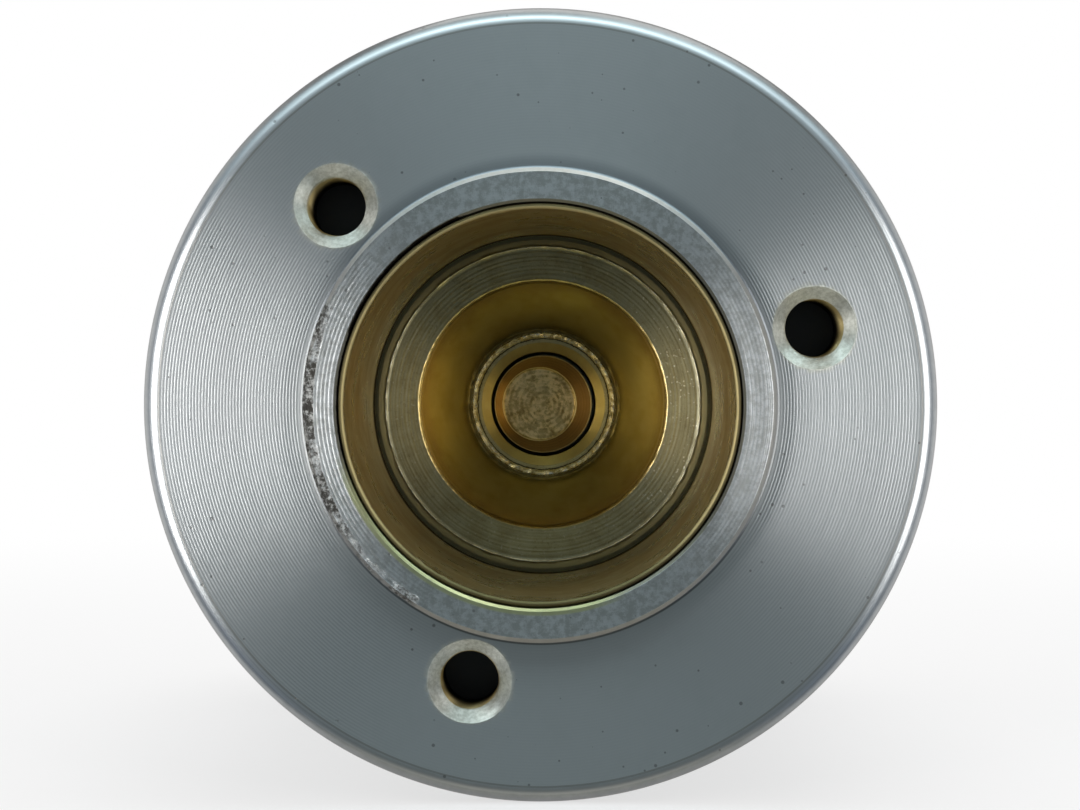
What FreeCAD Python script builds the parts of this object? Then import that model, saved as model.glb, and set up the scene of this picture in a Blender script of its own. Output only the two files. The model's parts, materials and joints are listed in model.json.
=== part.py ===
import FreeCAD, Part

import math
import os

# Starter solenoid, seen from its mounting end. Millimetres.
# The solenoid's axis is Y. The mounting face lies at y = 0 and faces -Y, with the origin at its centre.
# The terminals are at the other end, towards +Y, and +Z is up.

V = FreeCAD.Vector

# Clearances
RUNNING = 0.15          # radial, between the rod and what slides on it
SEATED = 0.05           # radial, between fixed pieces that fit one in another
LOOSE = 0.2             # radial, round a bolt, a wire or a bush
COIL_PLAY = 0.1         # round the coil's tube and at each of its ends
SIDE_GAP = 0.5          # between a contact head and the cap

# Steel can
BODY_D = 58.0
BODY_WALL = 3.0
FRONT_THICKNESS = 8.0
RIM_ROUND = 1.2
COLLAR_WALL = 2.45
COLLAR_HEIGHT = 2.5
COLLAR_CHAMFER = 0.3
COLLAR_BORE_CHAMFER = 0.2
REAR_WALL = 1.8         # where the can is bored out for the core plate and rolled over the cap
LIP_REACH = 3.8         # how far the rolled lip comes in from the outside of the can
LIP_ROUND = 1.5

# Tapped holes for the mounting screws, between the collar and the rim
SCREW_HOLE_D = 4.2
SCREW_SINK_D = 6.1
SCREW_COUNT = 3
SCREW_FIRST_ANGLE = 15.7
SCREW_FROM_COLLAR = 3.65

# Brass tube that guides the plunger
BORE_D = 28.2
SLEEVE_WALL = 0.45
SLEEVE_FIT = 0.1        # radial, between the tube and the can's front plate
SLEEVE_SETBACK = 0.2
SLEEVE_FLARE = 0.25     # how far the tube is opened out to take the core
SLEEVE_SHORT = 1.0

# Coil
COIL_LENGTH = 37.8
BOBBIN_WALL = 1.0
BOBBIN_FLANGE = 1.6
HOLD_IN_BUILD = 2.6
PAPER = 0.3
COIL_TO_CAN = 0.2
LEAD_D = 1.3
LEAD_BUSH_WALL = 1.1
PLATE_THICKNESS = 5.0

# Stationary core
CORE_LENGTH = 15.5
CORE_NOSE_GAP = 0.32
CORE_NOSE_LENGTH = 3.0
CORE_CHAMFER = 0.6
CORE_CHAMFER_RISE = 0.12
CORE_RING = 2.7        # width of the flat ring round the pocket
POCKET_CHAMFER = 0.36
POCKET_DEPTH = 6.0
POCKET_FLOOR_D = 12.5
BURR_D = 12.1
BURR_WIDTH = 0.16
BURR_HEIGHT = 0.16
CORE_HOLE_D = 9.0
CORE_SINK_D = 10.6
CORE_SINK_DEPTH = 0.32
CORE_SPIGOT_D = 20.0

# Contact rod
ROD_SETBACK = 1.5       # of the rod's tip behind the core's face
ROD_GAP = 0.4          # radial, between the rod and the core
ROD_CHAMFER = 1.1
ROD_FLANGE_D = 12.5
ROD_FLANGE = 1.6
ROD_TAIL_D = 6.0
ROD_OVERHANG = 2.7      # past the return spring's seat
ROD_END_CHAMFER = 0.5

# Moving contact
BRIDGE_D = 34.0
BRIDGE_THICKNESS = 3.0
BRIDGE_HOLE_D = 10.0
INSULATOR_D = 16.0
INSULATOR_THICKNESS = 1.2
BRIDGE_SPRING_LENGTH = 6.0
BRIDGE_SPRING_WIRE = 1.2
BRIDGE_SPRING_TURNS = 2.5
CONTACT_GAP = 3.0
CLIP_D = 10.0
CLIP_THICKNESS = 0.8
CLIP_GROOVE = 0.6
CLIP_MOUTH = 3.4
SEAT_THICKNESS = 1.0
RETURN_SPRING_D = 13.0  # through the middle of its wire
RETURN_SPRING_WIRE = 0.9
RETURN_SPRING_TURNS = 3.5
RETURN_SPRING_LENGTH = 8.5

# Cap
GASKET = 0.8
CAP_FLANGE = 4.2
CAP_WALL = 2.4
CAP_ROOF = 6.0
CAP_ROUND = 1.5
POCKET_MARGIN = 0.6     # between the return spring and the cap's pocket
BOSS_D = 18.0
BOSS_HEIGHT = 2.0

# Studs and their hardware
STUD_D = 8.0
STUD_X = 15.0
STUD_LENGTH = 21.0      # past the bosses
STUD_CHAMFER = 0.8
HEAD_THICKNESS = 4.5
HEAD_WIDTH = 12.0
HEAD_HEIGHT = 14.0
HEAD_ROUND = 1.0
SEAL_D = 13.0
SEAL_THICKNESS = 1.5
WASHER_D = 16.0
WASHER_THICKNESS = 1.6
NUT_ACROSS_FLATS = 13.0
NUT_THICKNESS = 6.5
NUT_GAP = 0.1           # radial, between a nut's bore and its stud
SPRING_WASHER_D = 14.4
SPRING_WASHER_THICKNESS = 2.0
SPRING_WASHER_MOUTH = 1.2

# Switch terminal, motor strap and solder
BLADE_WIDTH = 6.3
BLADE_THICKNESS = 0.8
BLADE_LENGTH = 13.0
BLADE_TIP = 1.2
BLADE_HOLE_D = 1.7
FOOT_LENGTH = 8.8
FOOT_MARGIN = 2.6       # from the foot's end to the rivet
RIVET_D = 3.0
RIVET_HEAD_D = 5.0
RIVET_HEAD = 0.9
STRAP_THICKNESS = 0.8
STRAP_WIDTH = 6.0
STRAP_EYE_D = 15.0
LEAD_PROUD = 1.6
SOLDER_D = 3.2
GROUND_ANGLE = 125.0

# Radii worked out from the sizes above
body_r = BODY_D / 2
can_inner_r = body_r - BODY_WALL
rear_inner_r = body_r - REAR_WALL
bore_r = BORE_D / 2
sleeve_r = bore_r + SLEEVE_WALL
front_bore_r = sleeve_r + SLEEVE_FIT
collar_r = front_bore_r + COLLAR_WALL
screw_circle_r = collar_r + SCREW_FROM_COLLAR
bobbin_bore_r = sleeve_r + SLEEVE_FLARE + COIL_PLAY
bobbin_tube_r = bobbin_bore_r + BOBBIN_WALL
hold_in_r = bobbin_tube_r + SEATED + HOLD_IN_BUILD
separator_r = hold_in_r + PAPER
flange_r = can_inner_r - COIL_TO_CAN
wrap_r = flange_r - COIL_TO_CAN
pull_in_r = wrap_r - PAPER
plate_r = rear_inner_r - SEATED
core_r = bore_r + SLEEVE_FLARE - SEATED
nose_r = bore_r - CORE_NOSE_GAP
ring_outer_r = nose_r - CORE_CHAMFER
ring_inner_r = ring_outer_r - CORE_RING
pocket_mouth_r = ring_inner_r - POCKET_CHAMFER
core_hole_r = CORE_HOLE_D / 2
rod_r = core_hole_r - ROD_GAP
rod_tail_r = ROD_TAIL_D / 2
rod_guide_r = rod_tail_r + RUNNING
groove_r = rod_tail_r - CLIP_GROOVE
return_spring_r = RETURN_SPRING_D / 2
seat_r = return_spring_r + RETURN_SPRING_WIRE / 2 + SEATED
cap_pocket_r = seat_r + POCKET_MARGIN
cap_body_r = body_r - LIP_REACH - LOOSE
chamber_r = cap_body_r - CAP_WALL
bridge_r = BRIDGE_D / 2
lead_circle_r = (bridge_r + chamber_r) / 2
lead_hole_r = LEAD_D / 2 + SEATED
bush_r = lead_hole_r + LEAD_BUSH_WALL
stud_r = STUD_D / 2
stud_hole_r = stud_r + LOOSE

# Places along the axis, from the mounting face backwards
collar_y = -COLLAR_HEIGHT
sleeve_y = collar_y + SLEEVE_SETBACK
coil_y = FRONT_THICKNESS + COIL_PLAY
coil_end_y = coil_y + COIL_LENGTH
plate_y = coil_end_y + COIL_PLAY
sleeve_end_y = plate_y - SLEEVE_SHORT
plate_rear_y = plate_y + PLATE_THICKNESS
core_y = plate_y - CORE_LENGTH
pocket_y = core_y + POCKET_DEPTH
rod_y = core_y + ROD_SETBACK
bridge_spring_y = plate_rear_y + ROD_FLANGE
front_insulator_y = bridge_spring_y + BRIDGE_SPRING_LENGTH
bridge_y = front_insulator_y + INSULATOR_THICKNESS
rear_insulator_y = bridge_y + BRIDGE_THICKNESS
clip_y = rear_insulator_y + INSULATOR_THICKNESS
seat_y = clip_y + CLIP_THICKNESS
return_spring_y = seat_y + SEAT_THICKNESS
return_spring_end_y = return_spring_y + RETURN_SPRING_LENGTH
rod_end_y = return_spring_y + ROD_OVERHANG
cap_y = plate_rear_y + GASKET
lip_y = cap_y + CAP_FLANGE
can_end_y = lip_y + REAR_WALL
head_y = rear_insulator_y + CONTACT_GAP
roof_y = head_y + HEAD_THICKNESS
cap_rear_y = roof_y + CAP_ROOF
boss_y = cap_rear_y + BOSS_HEIGHT
stud_end_y = boss_y + STUD_LENGTH

# Places across the axis
blade_z = lead_circle_r - LEAD_D / 2 - SEATED - BLADE_THICKNESS
foot_z = blade_z + BLADE_THICKNESS - FOOT_LENGTH
rivet_z = foot_z + FOOT_MARGIN
ground_x = lead_circle_r * math.cos(math.radians(GROUND_ANGLE))
ground_z = lead_circle_r * math.sin(math.radians(GROUND_ANGLE))
lead_places = {
    "switch_lead": (0.0, lead_circle_r),
    "pull_in_lead": (0.0, -lead_circle_r),
    "ground_lead": (ground_x, ground_z),
}
stud_places = {"battery_stud": -STUD_X, "motor_stud": STUD_X}
stack_starts = {"battery_stud": boss_y, "motor_stud": boss_y + STRAP_THICKNESS}


def rounded_outline(corners):
    """Closed wire in the XY plane through corners (r, y) or (r, y, rounding).

    A corner with a rounding becomes an arc of that radius, tangent to both of its sides.
    """
    points = [V(c[0], c[1], 0) for c in corners]
    starts = []
    ends = []
    arcs = []
    for i, corner in enumerate(corners):
        here = points[i]
        if len(corner) == 2:
            starts.append(here)
            ends.append(here)
            arcs.append(None)
            continue
        radius = corner[2]
        back = (points[i - 1] - here).normalize()
        forward = (points[(i + 1) % len(points)] - here).normalize()
        half = back.getAngle(forward) / 2
        reach = radius / math.tan(half)
        middle_way = (back + forward).normalize()
        first = here + back * reach
        last = here + forward * reach
        crown = here + middle_way * (radius / math.sin(half) - radius)
        starts.append(first)
        ends.append(last)
        arcs.append(Part.Arc(first, crown, last).toShape())
    edges = []
    for i, arc in enumerate(arcs):
        if arc is not None:
            edges.append(arc)
        following = starts[(i + 1) % len(starts)]
        if ends[i].distanceToPoint(following) > 1e-6:
            edges.append(Part.makeLine(ends[i], following))
    return Part.Wire(edges)


def turned(corners):
    """Solid of revolution about the Y axis with the outline given as (r, y) corners."""
    face = Part.Face(rounded_outline(corners))
    return face.revolve(V(0, 0, 0), V(0, 1, 0), 360)


def bar(radius, start, end, x=0.0, z=0.0):
    """Round bar along Y from start to end, with its centre line through (x, z)."""
    return Part.makeCylinder(radius, end - start, V(x, start, z), V(0, 1, 0))


def ring(outer, inner, start, end, x=0.0, z=0.0):
    """Flat ring or tube along Y."""
    return bar(outer, start, end, x, z).cut(bar(inner, start, end, x, z))


def block(x_range, y_range, z_range):
    """Box between the given limits."""
    corner = V(x_range[0], y_range[0], z_range[0])
    lengths = [high - low for low, high in (x_range, y_range, z_range)]
    return Part.makeBox(*lengths, corner)


def cone_cut(small_r, large_r, start, end, x=0.0, z=0.0):
    """Cone along Y, large_r at start and small_r at end."""
    return Part.makeCone(large_r, small_r, end - start, V(x, start, z), V(0, 1, 0))


def around(count, first_angle, radius):
    """Centres (x, z) of an even pattern round the axis, angles from +X towards +Z."""
    for i in range(count):
        angle = math.radians(first_angle + 360 * i / count)
        yield radius * math.cos(angle), radius * math.sin(angle)


def housing_can():
    """Steel cup in one piece: thick front plate with the collar, wall, and the lip rolled over the cap."""
    can = turned([
        (front_bore_r, collar_y + COLLAR_BORE_CHAMFER),
        (front_bore_r + COLLAR_BORE_CHAMFER, collar_y),
        (collar_r - COLLAR_CHAMFER, collar_y),
        (collar_r, collar_y + COLLAR_CHAMFER),
        (collar_r, 0),
        (body_r, 0, RIM_ROUND),
        (body_r, can_end_y, LIP_ROUND),
        (body_r - LIP_REACH, can_end_y, REAR_WALL / 3),
        (body_r - LIP_REACH, lip_y, REAR_WALL / 3),
        (rear_inner_r, lip_y),
        (rear_inner_r, plate_y),
        (can_inner_r, plate_y),
        (can_inner_r, FRONT_THICKNESS),
        (front_bore_r, FRONT_THICKNESS),
    ])
    sink = (SCREW_SINK_D - SCREW_HOLE_D) / 2
    for x, z in around(SCREW_COUNT, SCREW_FIRST_ANGLE, screw_circle_r):
        can = can.cut(bar(SCREW_HOLE_D / 2, 0, FRONT_THICKNESS, x, z))
        can = can.cut(cone_cut(SCREW_HOLE_D / 2, SCREW_SINK_D / 2, 0, sink, x, z))
    return can


def plunger_sleeve():
    """Thin brass tube from the collar to the back of the coil, opened out from the core's face on."""
    return turned([
        (bore_r, sleeve_y),
        (sleeve_r, sleeve_y),
        (sleeve_r, core_y),
        (sleeve_r + SLEEVE_FLARE, core_y + SLEEVE_FLARE),
        (sleeve_r + SLEEVE_FLARE, sleeve_end_y),
        (bore_r + SLEEVE_FLARE, sleeve_end_y),
        (bore_r + SLEEVE_FLARE, core_y + SLEEVE_FLARE),
        (bore_r, core_y),
    ])


def stationary_core():
    """Steel plug: flat ring, cone pocket, burr and countersunk hole in front, spigot in the core plate behind."""
    burr_r = BURR_D / 2
    return turned([
        (core_hole_r, plate_rear_y),
        (CORE_SPIGOT_D / 2, plate_rear_y),
        (CORE_SPIGOT_D / 2, plate_y),
        (core_r, plate_y),
        (core_r, core_y + CORE_NOSE_LENGTH),
        (nose_r, core_y + CORE_NOSE_LENGTH),
        (nose_r, core_y + CORE_CHAMFER_RISE),
        (ring_outer_r, core_y),
        (ring_inner_r, core_y),
        (pocket_mouth_r, core_y + POCKET_CHAMFER),
        (POCKET_FLOOR_D / 2, pocket_y),
        (burr_r + BURR_WIDTH, pocket_y),
        (burr_r, pocket_y - BURR_HEIGHT),
        (burr_r - BURR_WIDTH, pocket_y),
        (CORE_SINK_D / 2, pocket_y),
        (core_hole_r, pocket_y + CORE_SINK_DEPTH),
    ])


def contact_rod():
    """Turned steel rod: chamfered tip, shank in the core, flange on the core's rear face, tail with a groove."""
    groove_play = SEATED
    return turned([
        (0, rod_y),
        (rod_r - ROD_CHAMFER, rod_y),
        (rod_r, rod_y + ROD_CHAMFER),
        (rod_r, plate_rear_y),
        (ROD_FLANGE_D / 2, plate_rear_y),
        (ROD_FLANGE_D / 2, bridge_spring_y),
        (rod_tail_r, bridge_spring_y),
        (rod_tail_r, clip_y - groove_play),
        (groove_r, clip_y - groove_play),
        (groove_r, seat_y + groove_play),
        (rod_tail_r, seat_y + groove_play),
        (rod_tail_r, rod_end_y - ROD_END_CHAMFER),
        (rod_tail_r - ROD_END_CHAMFER, rod_end_y),
        (0, rod_end_y),
    ])


def coil_bobbin():
    """Moulded spool with two flanges, and bushes that carry the leads through the core plate."""
    bobbin = turned([
        (bobbin_bore_r, coil_y),
        (flange_r, coil_y),
        (flange_r, coil_y + BOBBIN_FLANGE),
        (bobbin_tube_r, coil_y + BOBBIN_FLANGE),
        (bobbin_tube_r, coil_end_y - BOBBIN_FLANGE),
        (flange_r, coil_end_y - BOBBIN_FLANGE),
        (flange_r, coil_end_y),
        (bobbin_bore_r, coil_end_y),
    ])
    for x, z in lead_places.values():
        bobbin = bobbin.fuse(bar(bush_r, coil_end_y, plate_rear_y, x, z))
    for x, z in lead_places.values():
        bobbin = bobbin.cut(bar(lead_hole_r, coil_end_y - BOBBIN_FLANGE, plate_rear_y, x, z))
    return bobbin.removeSplitter()


def winding(inner, outer):
    """Winding or paper layer between the bobbin's flanges."""
    return ring(outer, inner, coil_y + BOBBIN_FLANGE, coil_end_y - BOBBIN_FLANGE)


def core_plate():
    """Steel disc behind the coil, with the core's seat and holes for the lead bushes."""
    plate = ring(plate_r, CORE_SPIGOT_D / 2 + SEATED, plate_y, plate_rear_y)
    for x, z in lead_places.values():
        plate = plate.cut(bar(bush_r + LOOSE, plate_y, plate_rear_y, x, z))
    return plate


def coil_spring(radius, wire, turns, start, end):
    """Compression spring round the Y axis, its ends ground flat on the planes at start and end."""
    sunk = wire / 4
    height = end - start - 2 * sunk
    helix = Part.makeHelix(height / turns, height, radius)
    section = Part.Wire(Part.makeCircle(wire / 2, V(radius, 0, 0), V(0, 1, 0)))
    coil = Part.Wire(helix.Edges).makePipeShell([section], True, True)
    coil.rotate(V(0, 0, 0), V(1, 0, 0), -90)
    coil.translate(V(0, start + sunk, 0))
    return coil.common(bar(2 * radius, start, end))


def bridge_spring():
    """Spring between the rod's flange and the contact bridge."""
    radius = (rod_guide_r + ROD_FLANGE_D / 2 + BRIDGE_SPRING_WIRE / 2) / 2
    return coil_spring(radius, BRIDGE_SPRING_WIRE, BRIDGE_SPRING_TURNS, bridge_spring_y, front_insulator_y)


def return_spring():
    """Spring between the seat on the rod and the cap's pocket."""
    return coil_spring(
        return_spring_r, RETURN_SPRING_WIRE, RETURN_SPRING_TURNS, return_spring_y, return_spring_end_y)


def front_insulator():
    """Flanged bush that lines the bridge's hole."""
    flange = ring(INSULATOR_D / 2, rod_guide_r, front_insulator_y, bridge_y)
    bush = ring(BRIDGE_HOLE_D / 2 - SEATED, rod_guide_r, bridge_y, rear_insulator_y)
    return flange.fuse(bush).removeSplitter()


def contact_bridge():
    """Copper disc with its hole."""
    return ring(bridge_r, BRIDGE_HOLE_D / 2, bridge_y, rear_insulator_y)


def rear_insulator():
    """Insulating washer behind the bridge."""
    return ring(INSULATOR_D / 2, rod_guide_r, rear_insulator_y, clip_y)


def rod_clip():
    """Open retaining ring in the rod's groove."""
    clip = ring(CLIP_D / 2, groove_r + SEATED, clip_y, seat_y)
    mouth = block((-CLIP_MOUTH / 2, CLIP_MOUTH / 2), (clip_y, seat_y), (-CLIP_D, 0))
    return clip.cut(mouth)


def spring_washer_seat():
    """Steel washer on the clip, which carries the return spring."""
    return ring(seat_r, rod_guide_r, seat_y, return_spring_y)


def cap_gasket():
    """Rubber ring between the core plate and the cap."""
    return ring(plate_r, chamber_r, plate_rear_y, cap_y)


def terminal_cap():
    """Moulded cap: flange under the can's lip, chamber for the contacts, roof with two bosses."""
    cap = turned([
        (chamber_r, cap_y),
        (plate_r, cap_y),
        (plate_r, lip_y),
        (cap_body_r, lip_y),
        (cap_body_r, cap_rear_y, CAP_ROUND),
        (0, cap_rear_y),
        (0, return_spring_end_y),
        (cap_pocket_r, return_spring_end_y),
        (cap_pocket_r, roof_y),
        (chamber_r, roof_y),
    ])
    for x in stud_places.values():
        cap = cap.fuse(bar(BOSS_D / 2, cap_rear_y - CAP_ROUND, boss_y, x))
    for x in stud_places.values():
        cap = cap.cut(bar(stud_hole_r, roof_y, boss_y, x))
        cap = cap.cut(bar(SEAL_D / 2 + SEATED, boss_y - SEAL_THICKNESS, boss_y, x))
    for name in ("switch_lead", "pull_in_lead"):
        x, z = lead_places[name]
        cap = cap.cut(bar(lead_hole_r, roof_y, cap_rear_y, x, z))
    cap = cap.cut(bar(RIVET_D / 2 + SEATED, roof_y, cap_rear_y, 0, rivet_z))
    return cap.removeSplitter()


def terminal_stud(x):
    """Copper bolt: a flat head in the chamber, shaped to the chamber's wall, and a round shank."""
    head = block(
        (x - HEAD_WIDTH / 2, x + HEAD_WIDTH / 2),
        (head_y, roof_y),
        (-HEAD_HEIGHT / 2, HEAD_HEIGHT / 2),
    )
    upright = [e for e in head.Edges if abs(e.Length - HEAD_THICKNESS) < 1e-6]
    head = head.makeFillet(HEAD_ROUND, upright)
    head = head.common(bar(chamber_r - SIDE_GAP, head_y, roof_y))
    head = head.cut(bar(cap_pocket_r + SIDE_GAP, head_y, roof_y))
    shank = bar(stud_r, roof_y, stud_end_y, x)
    shank = shank.makeChamfer(STUD_CHAMFER, [e for e in shank.Edges if at_height(e, stud_end_y)])
    return head.fuse(shank).removeSplitter()


def at_height(edge, y):
    """True for an edge that lies wholly in the plane at y."""
    box = edge.BoundBox
    return abs(box.YMin - y) < 1e-6 and abs(box.YMax - y) < 1e-6


def group(solids):
    """Several separate solids of one kind as one shape."""
    return Part.makeCompound(solids)


def stud_seals():
    """Rubber rings in the bosses' recesses."""
    return group([
        ring(SEAL_D / 2, stud_r + SEATED, boss_y - SEAL_THICKNESS, boss_y, x)
        for x in stud_places.values()
    ])


def stacked(piece, offset, thickness):
    """One copy of a ring-shaped piece on each stud, offset above the start of that stud's stack."""
    copies = []
    for name, x in stud_places.items():
        start = stack_starts[name] + offset
        copies.append(piece(x, start, start + thickness))
    return group(copies)


def flat_washer(x, start, end):
    """Plain washer on a stud."""
    return ring(WASHER_D / 2, stud_hole_r, start, end, x)


def hex_nut(x, start, end):
    """Hexagon nut whose corners are turned down at 30 degrees at both ends."""
    corner_r = NUT_ACROSS_FLATS / math.sqrt(3)
    slope = (corner_r - NUT_ACROSS_FLATS / 2) * math.tan(math.radians(30))
    corners = []
    for i in range(7):
        angle = math.radians(60 * i)
        corners.append(V(x + corner_r * math.cos(angle), start, corner_r * math.sin(angle)))
    prism = Part.Face(Part.makePolygon(corners)).extrude(V(0, end - start, 0))
    turned_down = turned([
        (0, start),
        (NUT_ACROSS_FLATS / 2, start),
        (corner_r, start + slope),
        (corner_r, end - slope),
        (NUT_ACROSS_FLATS / 2, end),
        (0, end),
    ])
    turned_down.translate(V(x, 0, 0))
    return prism.common(turned_down).cut(bar(stud_r + NUT_GAP, start, end, x))


def split_washer(x, start, end):
    """Spring washer with its slit."""
    washer = ring(SPRING_WASHER_D / 2, stud_hole_r, start, end, x)
    slit = block(
        (x - SPRING_WASHER_MOUTH / 2, x + SPRING_WASHER_MOUTH / 2),
        (start, end),
        (0, SPRING_WASHER_D),
    )
    return washer.cut(slit)


def switch_terminal():
    """Flat blade bent up from its foot, with a hole near its tip."""
    half = BLADE_WIDTH / 2
    foot_top = cap_rear_y + BLADE_THICKNESS
    tip_y = foot_top + BLADE_LENGTH
    blade_back_z = blade_z + BLADE_THICKNESS
    foot = block((-half, half), (cap_rear_y, foot_top), (foot_z, blade_back_z))
    outline = [
        V(-half, cap_rear_y, blade_z),
        V(half, cap_rear_y, blade_z),
        V(half, tip_y - BLADE_TIP, blade_z),
        V(half - BLADE_TIP, tip_y, blade_z),
        V(BLADE_TIP - half, tip_y, blade_z),
        V(-half, tip_y - BLADE_TIP, blade_z),
        V(-half, cap_rear_y, blade_z),
    ]
    blade = Part.Face(Part.makePolygon(outline)).extrude(V(0, 0, BLADE_THICKNESS))
    hole_y = tip_y - BLADE_LENGTH / 3
    hole = Part.makeCylinder(BLADE_HOLE_D / 2, 2 * BLADE_THICKNESS, V(0, hole_y, blade_z - BLADE_THICKNESS / 2))
    blade = blade.cut(hole)
    rivet_hole = bar(RIVET_D / 2 + SEATED, cap_rear_y, foot_top, 0, rivet_z)
    return foot.fuse(blade).removeSplitter().cut(rivet_hole)


def switch_rivet():
    """Rivet through the foot and the cap's roof, with a head at each end."""
    foot_top = cap_rear_y + BLADE_THICKNESS
    rivet = turned([
        (0, roof_y - RIVET_HEAD),
        (RIVET_HEAD_D / 2, roof_y - RIVET_HEAD),
        (RIVET_HEAD_D / 2, roof_y),
        (RIVET_D / 2, roof_y),
        (RIVET_D / 2, foot_top),
        (RIVET_HEAD_D / 2, foot_top),
        (RIVET_HEAD_D / 2, foot_top + RIVET_HEAD, RIVET_HEAD * 0.8),
        (0, foot_top + RIVET_HEAD),
    ])
    rivet.translate(V(0, 0, rivet_z))
    return rivet


def motor_strap():
    """Copper strap from the motor stud to the pull-in winding's lead."""
    top = boss_y + STRAP_THICKNESS
    lead_x, lead_z = lead_places["pull_in_lead"]
    eye = bar(STRAP_EYE_D / 2, boss_y, top, STUD_X)
    end = bar(STRAP_WIDTH / 2, boss_y, top, lead_x, lead_z)
    run = V(lead_x - STUD_X, 0, lead_z)
    side = V(-run.z, 0, run.x).normalize() * (STRAP_WIDTH / 2)
    root = V(STUD_X, boss_y, 0)
    tip = root + run
    outline = [root + side, tip + side, tip - side, root - side, root + side]
    tail = Part.Face(Part.makePolygon(outline)).extrude(V(0, STRAP_THICKNESS, 0))
    strap = eye.fuse([end, tail]).removeSplitter()
    strap = strap.cut(bar(stud_hole_r, boss_y, top, STUD_X))
    return strap.cut(bar(lead_hole_r, boss_y, top, lead_x, lead_z))


def lead(name, end):
    """Straight end of a winding, from the coil to where it is soldered."""
    x, z = lead_places[name]
    return bar(LEAD_D / 2, coil_end_y - BOBBIN_FLANGE, end, x, z)


def solder_bead(name, start):
    """Low cone of solder round the end of a lead."""
    x, z = lead_places[name]
    base = SOLDER_D / 2
    end = start + LEAD_PROUD
    return cone_cut(base / 2, base, start, end, x, z).cut(bar(LEAD_D / 2, start, end, x, z))


def solder_joints():
    """Solder at the blade, on the strap and beside the ground lead's bush."""
    blade_side = block(
        (-BLADE_WIDTH, BLADE_WIDTH),
        (cap_rear_y, cap_rear_y + 2 * LEAD_PROUD),
        (0, blade_z + BLADE_THICKNESS),
    )
    return group([
        solder_bead("switch_lead", cap_rear_y).cut(blade_side),
        solder_bead("pull_in_lead", boss_y + STRAP_THICKNESS),
        ground_solder(),
    ])


def ground_solder():
    """Cap of solder over the ground lead's bush, down to the core plate and clear of the gasket."""
    outer = bush_r + LOOSE + SOLDER_D / 6
    end = plate_rear_y + LEAD_PROUD
    bead = cone_cut(LEAD_D, outer, plate_rear_y, end, ground_x, ground_z)
    bead = bead.common(bar(chamber_r - LOOSE, plate_rear_y, end))
    return bead.cut(bar(LEAD_D / 2, plate_rear_y, end, ground_x, ground_z))


pieces = {
    "housing_can": housing_can(),
    "plunger_sleeve": plunger_sleeve(),
    "stationary_core": stationary_core(),
    "contact_rod": contact_rod(),
    "coil_bobbin": coil_bobbin(),
    "hold_in_winding": winding(bobbin_tube_r + SEATED, hold_in_r),
    "winding_separator": winding(hold_in_r, separator_r),
    "pull_in_winding": winding(separator_r, pull_in_r),
    "coil_wrap": winding(pull_in_r, wrap_r),
    "core_plate": core_plate(),
    "bridge_spring": bridge_spring(),
    "front_insulator": front_insulator(),
    "contact_bridge": contact_bridge(),
    "rear_insulator": rear_insulator(),
    "rod_clip": rod_clip(),
    "spring_washer_seat": spring_washer_seat(),
    "return_spring": return_spring(),
    "cap_gasket": cap_gasket(),
    "terminal_cap": terminal_cap(),
    "stud_seals": stud_seals(),
    "stud_washers": stacked(flat_washer, 0, WASHER_THICKNESS),
    "clamp_nuts": stacked(hex_nut, WASHER_THICKNESS, NUT_THICKNESS),
    "spring_washers": stacked(split_washer, WASHER_THICKNESS + NUT_THICKNESS, SPRING_WASHER_THICKNESS),
    "cable_nuts": stacked(
        hex_nut, WASHER_THICKNESS + NUT_THICKNESS + SPRING_WASHER_THICKNESS, NUT_THICKNESS),
    "switch_terminal": switch_terminal(),
    "switch_rivet": switch_rivet(),
    "motor_strap": motor_strap(),
    "switch_lead": lead("switch_lead", cap_rear_y + LEAD_PROUD),
    "pull_in_lead": lead("pull_in_lead", boss_y + STRAP_THICKNESS + LEAD_PROUD),
    "ground_lead": lead("ground_lead", plate_rear_y + LEAD_PROUD),
    "solder_joints": solder_joints(),
}
for name, x in stud_places.items():
    pieces[name] = terminal_stud(x)

os.makedirs("parts", exist_ok=True)
for name, shape in pieces.items():
    shape.exportStep(f"parts/{name}.step")
    print(name, len(shape.Solids), "solids,", round(shape.Volume, 1), "mm3, valid", shape.isValid())
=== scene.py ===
"""Starter solenoid, seen from its mounting end.

The solenoid's axis is Y. The mounting face lies at y = 0 and faces -Y, the terminals point to +Y, and +Z
is up. Turned pieces are made here again at their real size with their tool marks, edges and threads. Both
springs are made pieces of their own. Every other piece keeps its shape and gets its finish. Lengths are
metres.
"""

import json
import math

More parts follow.
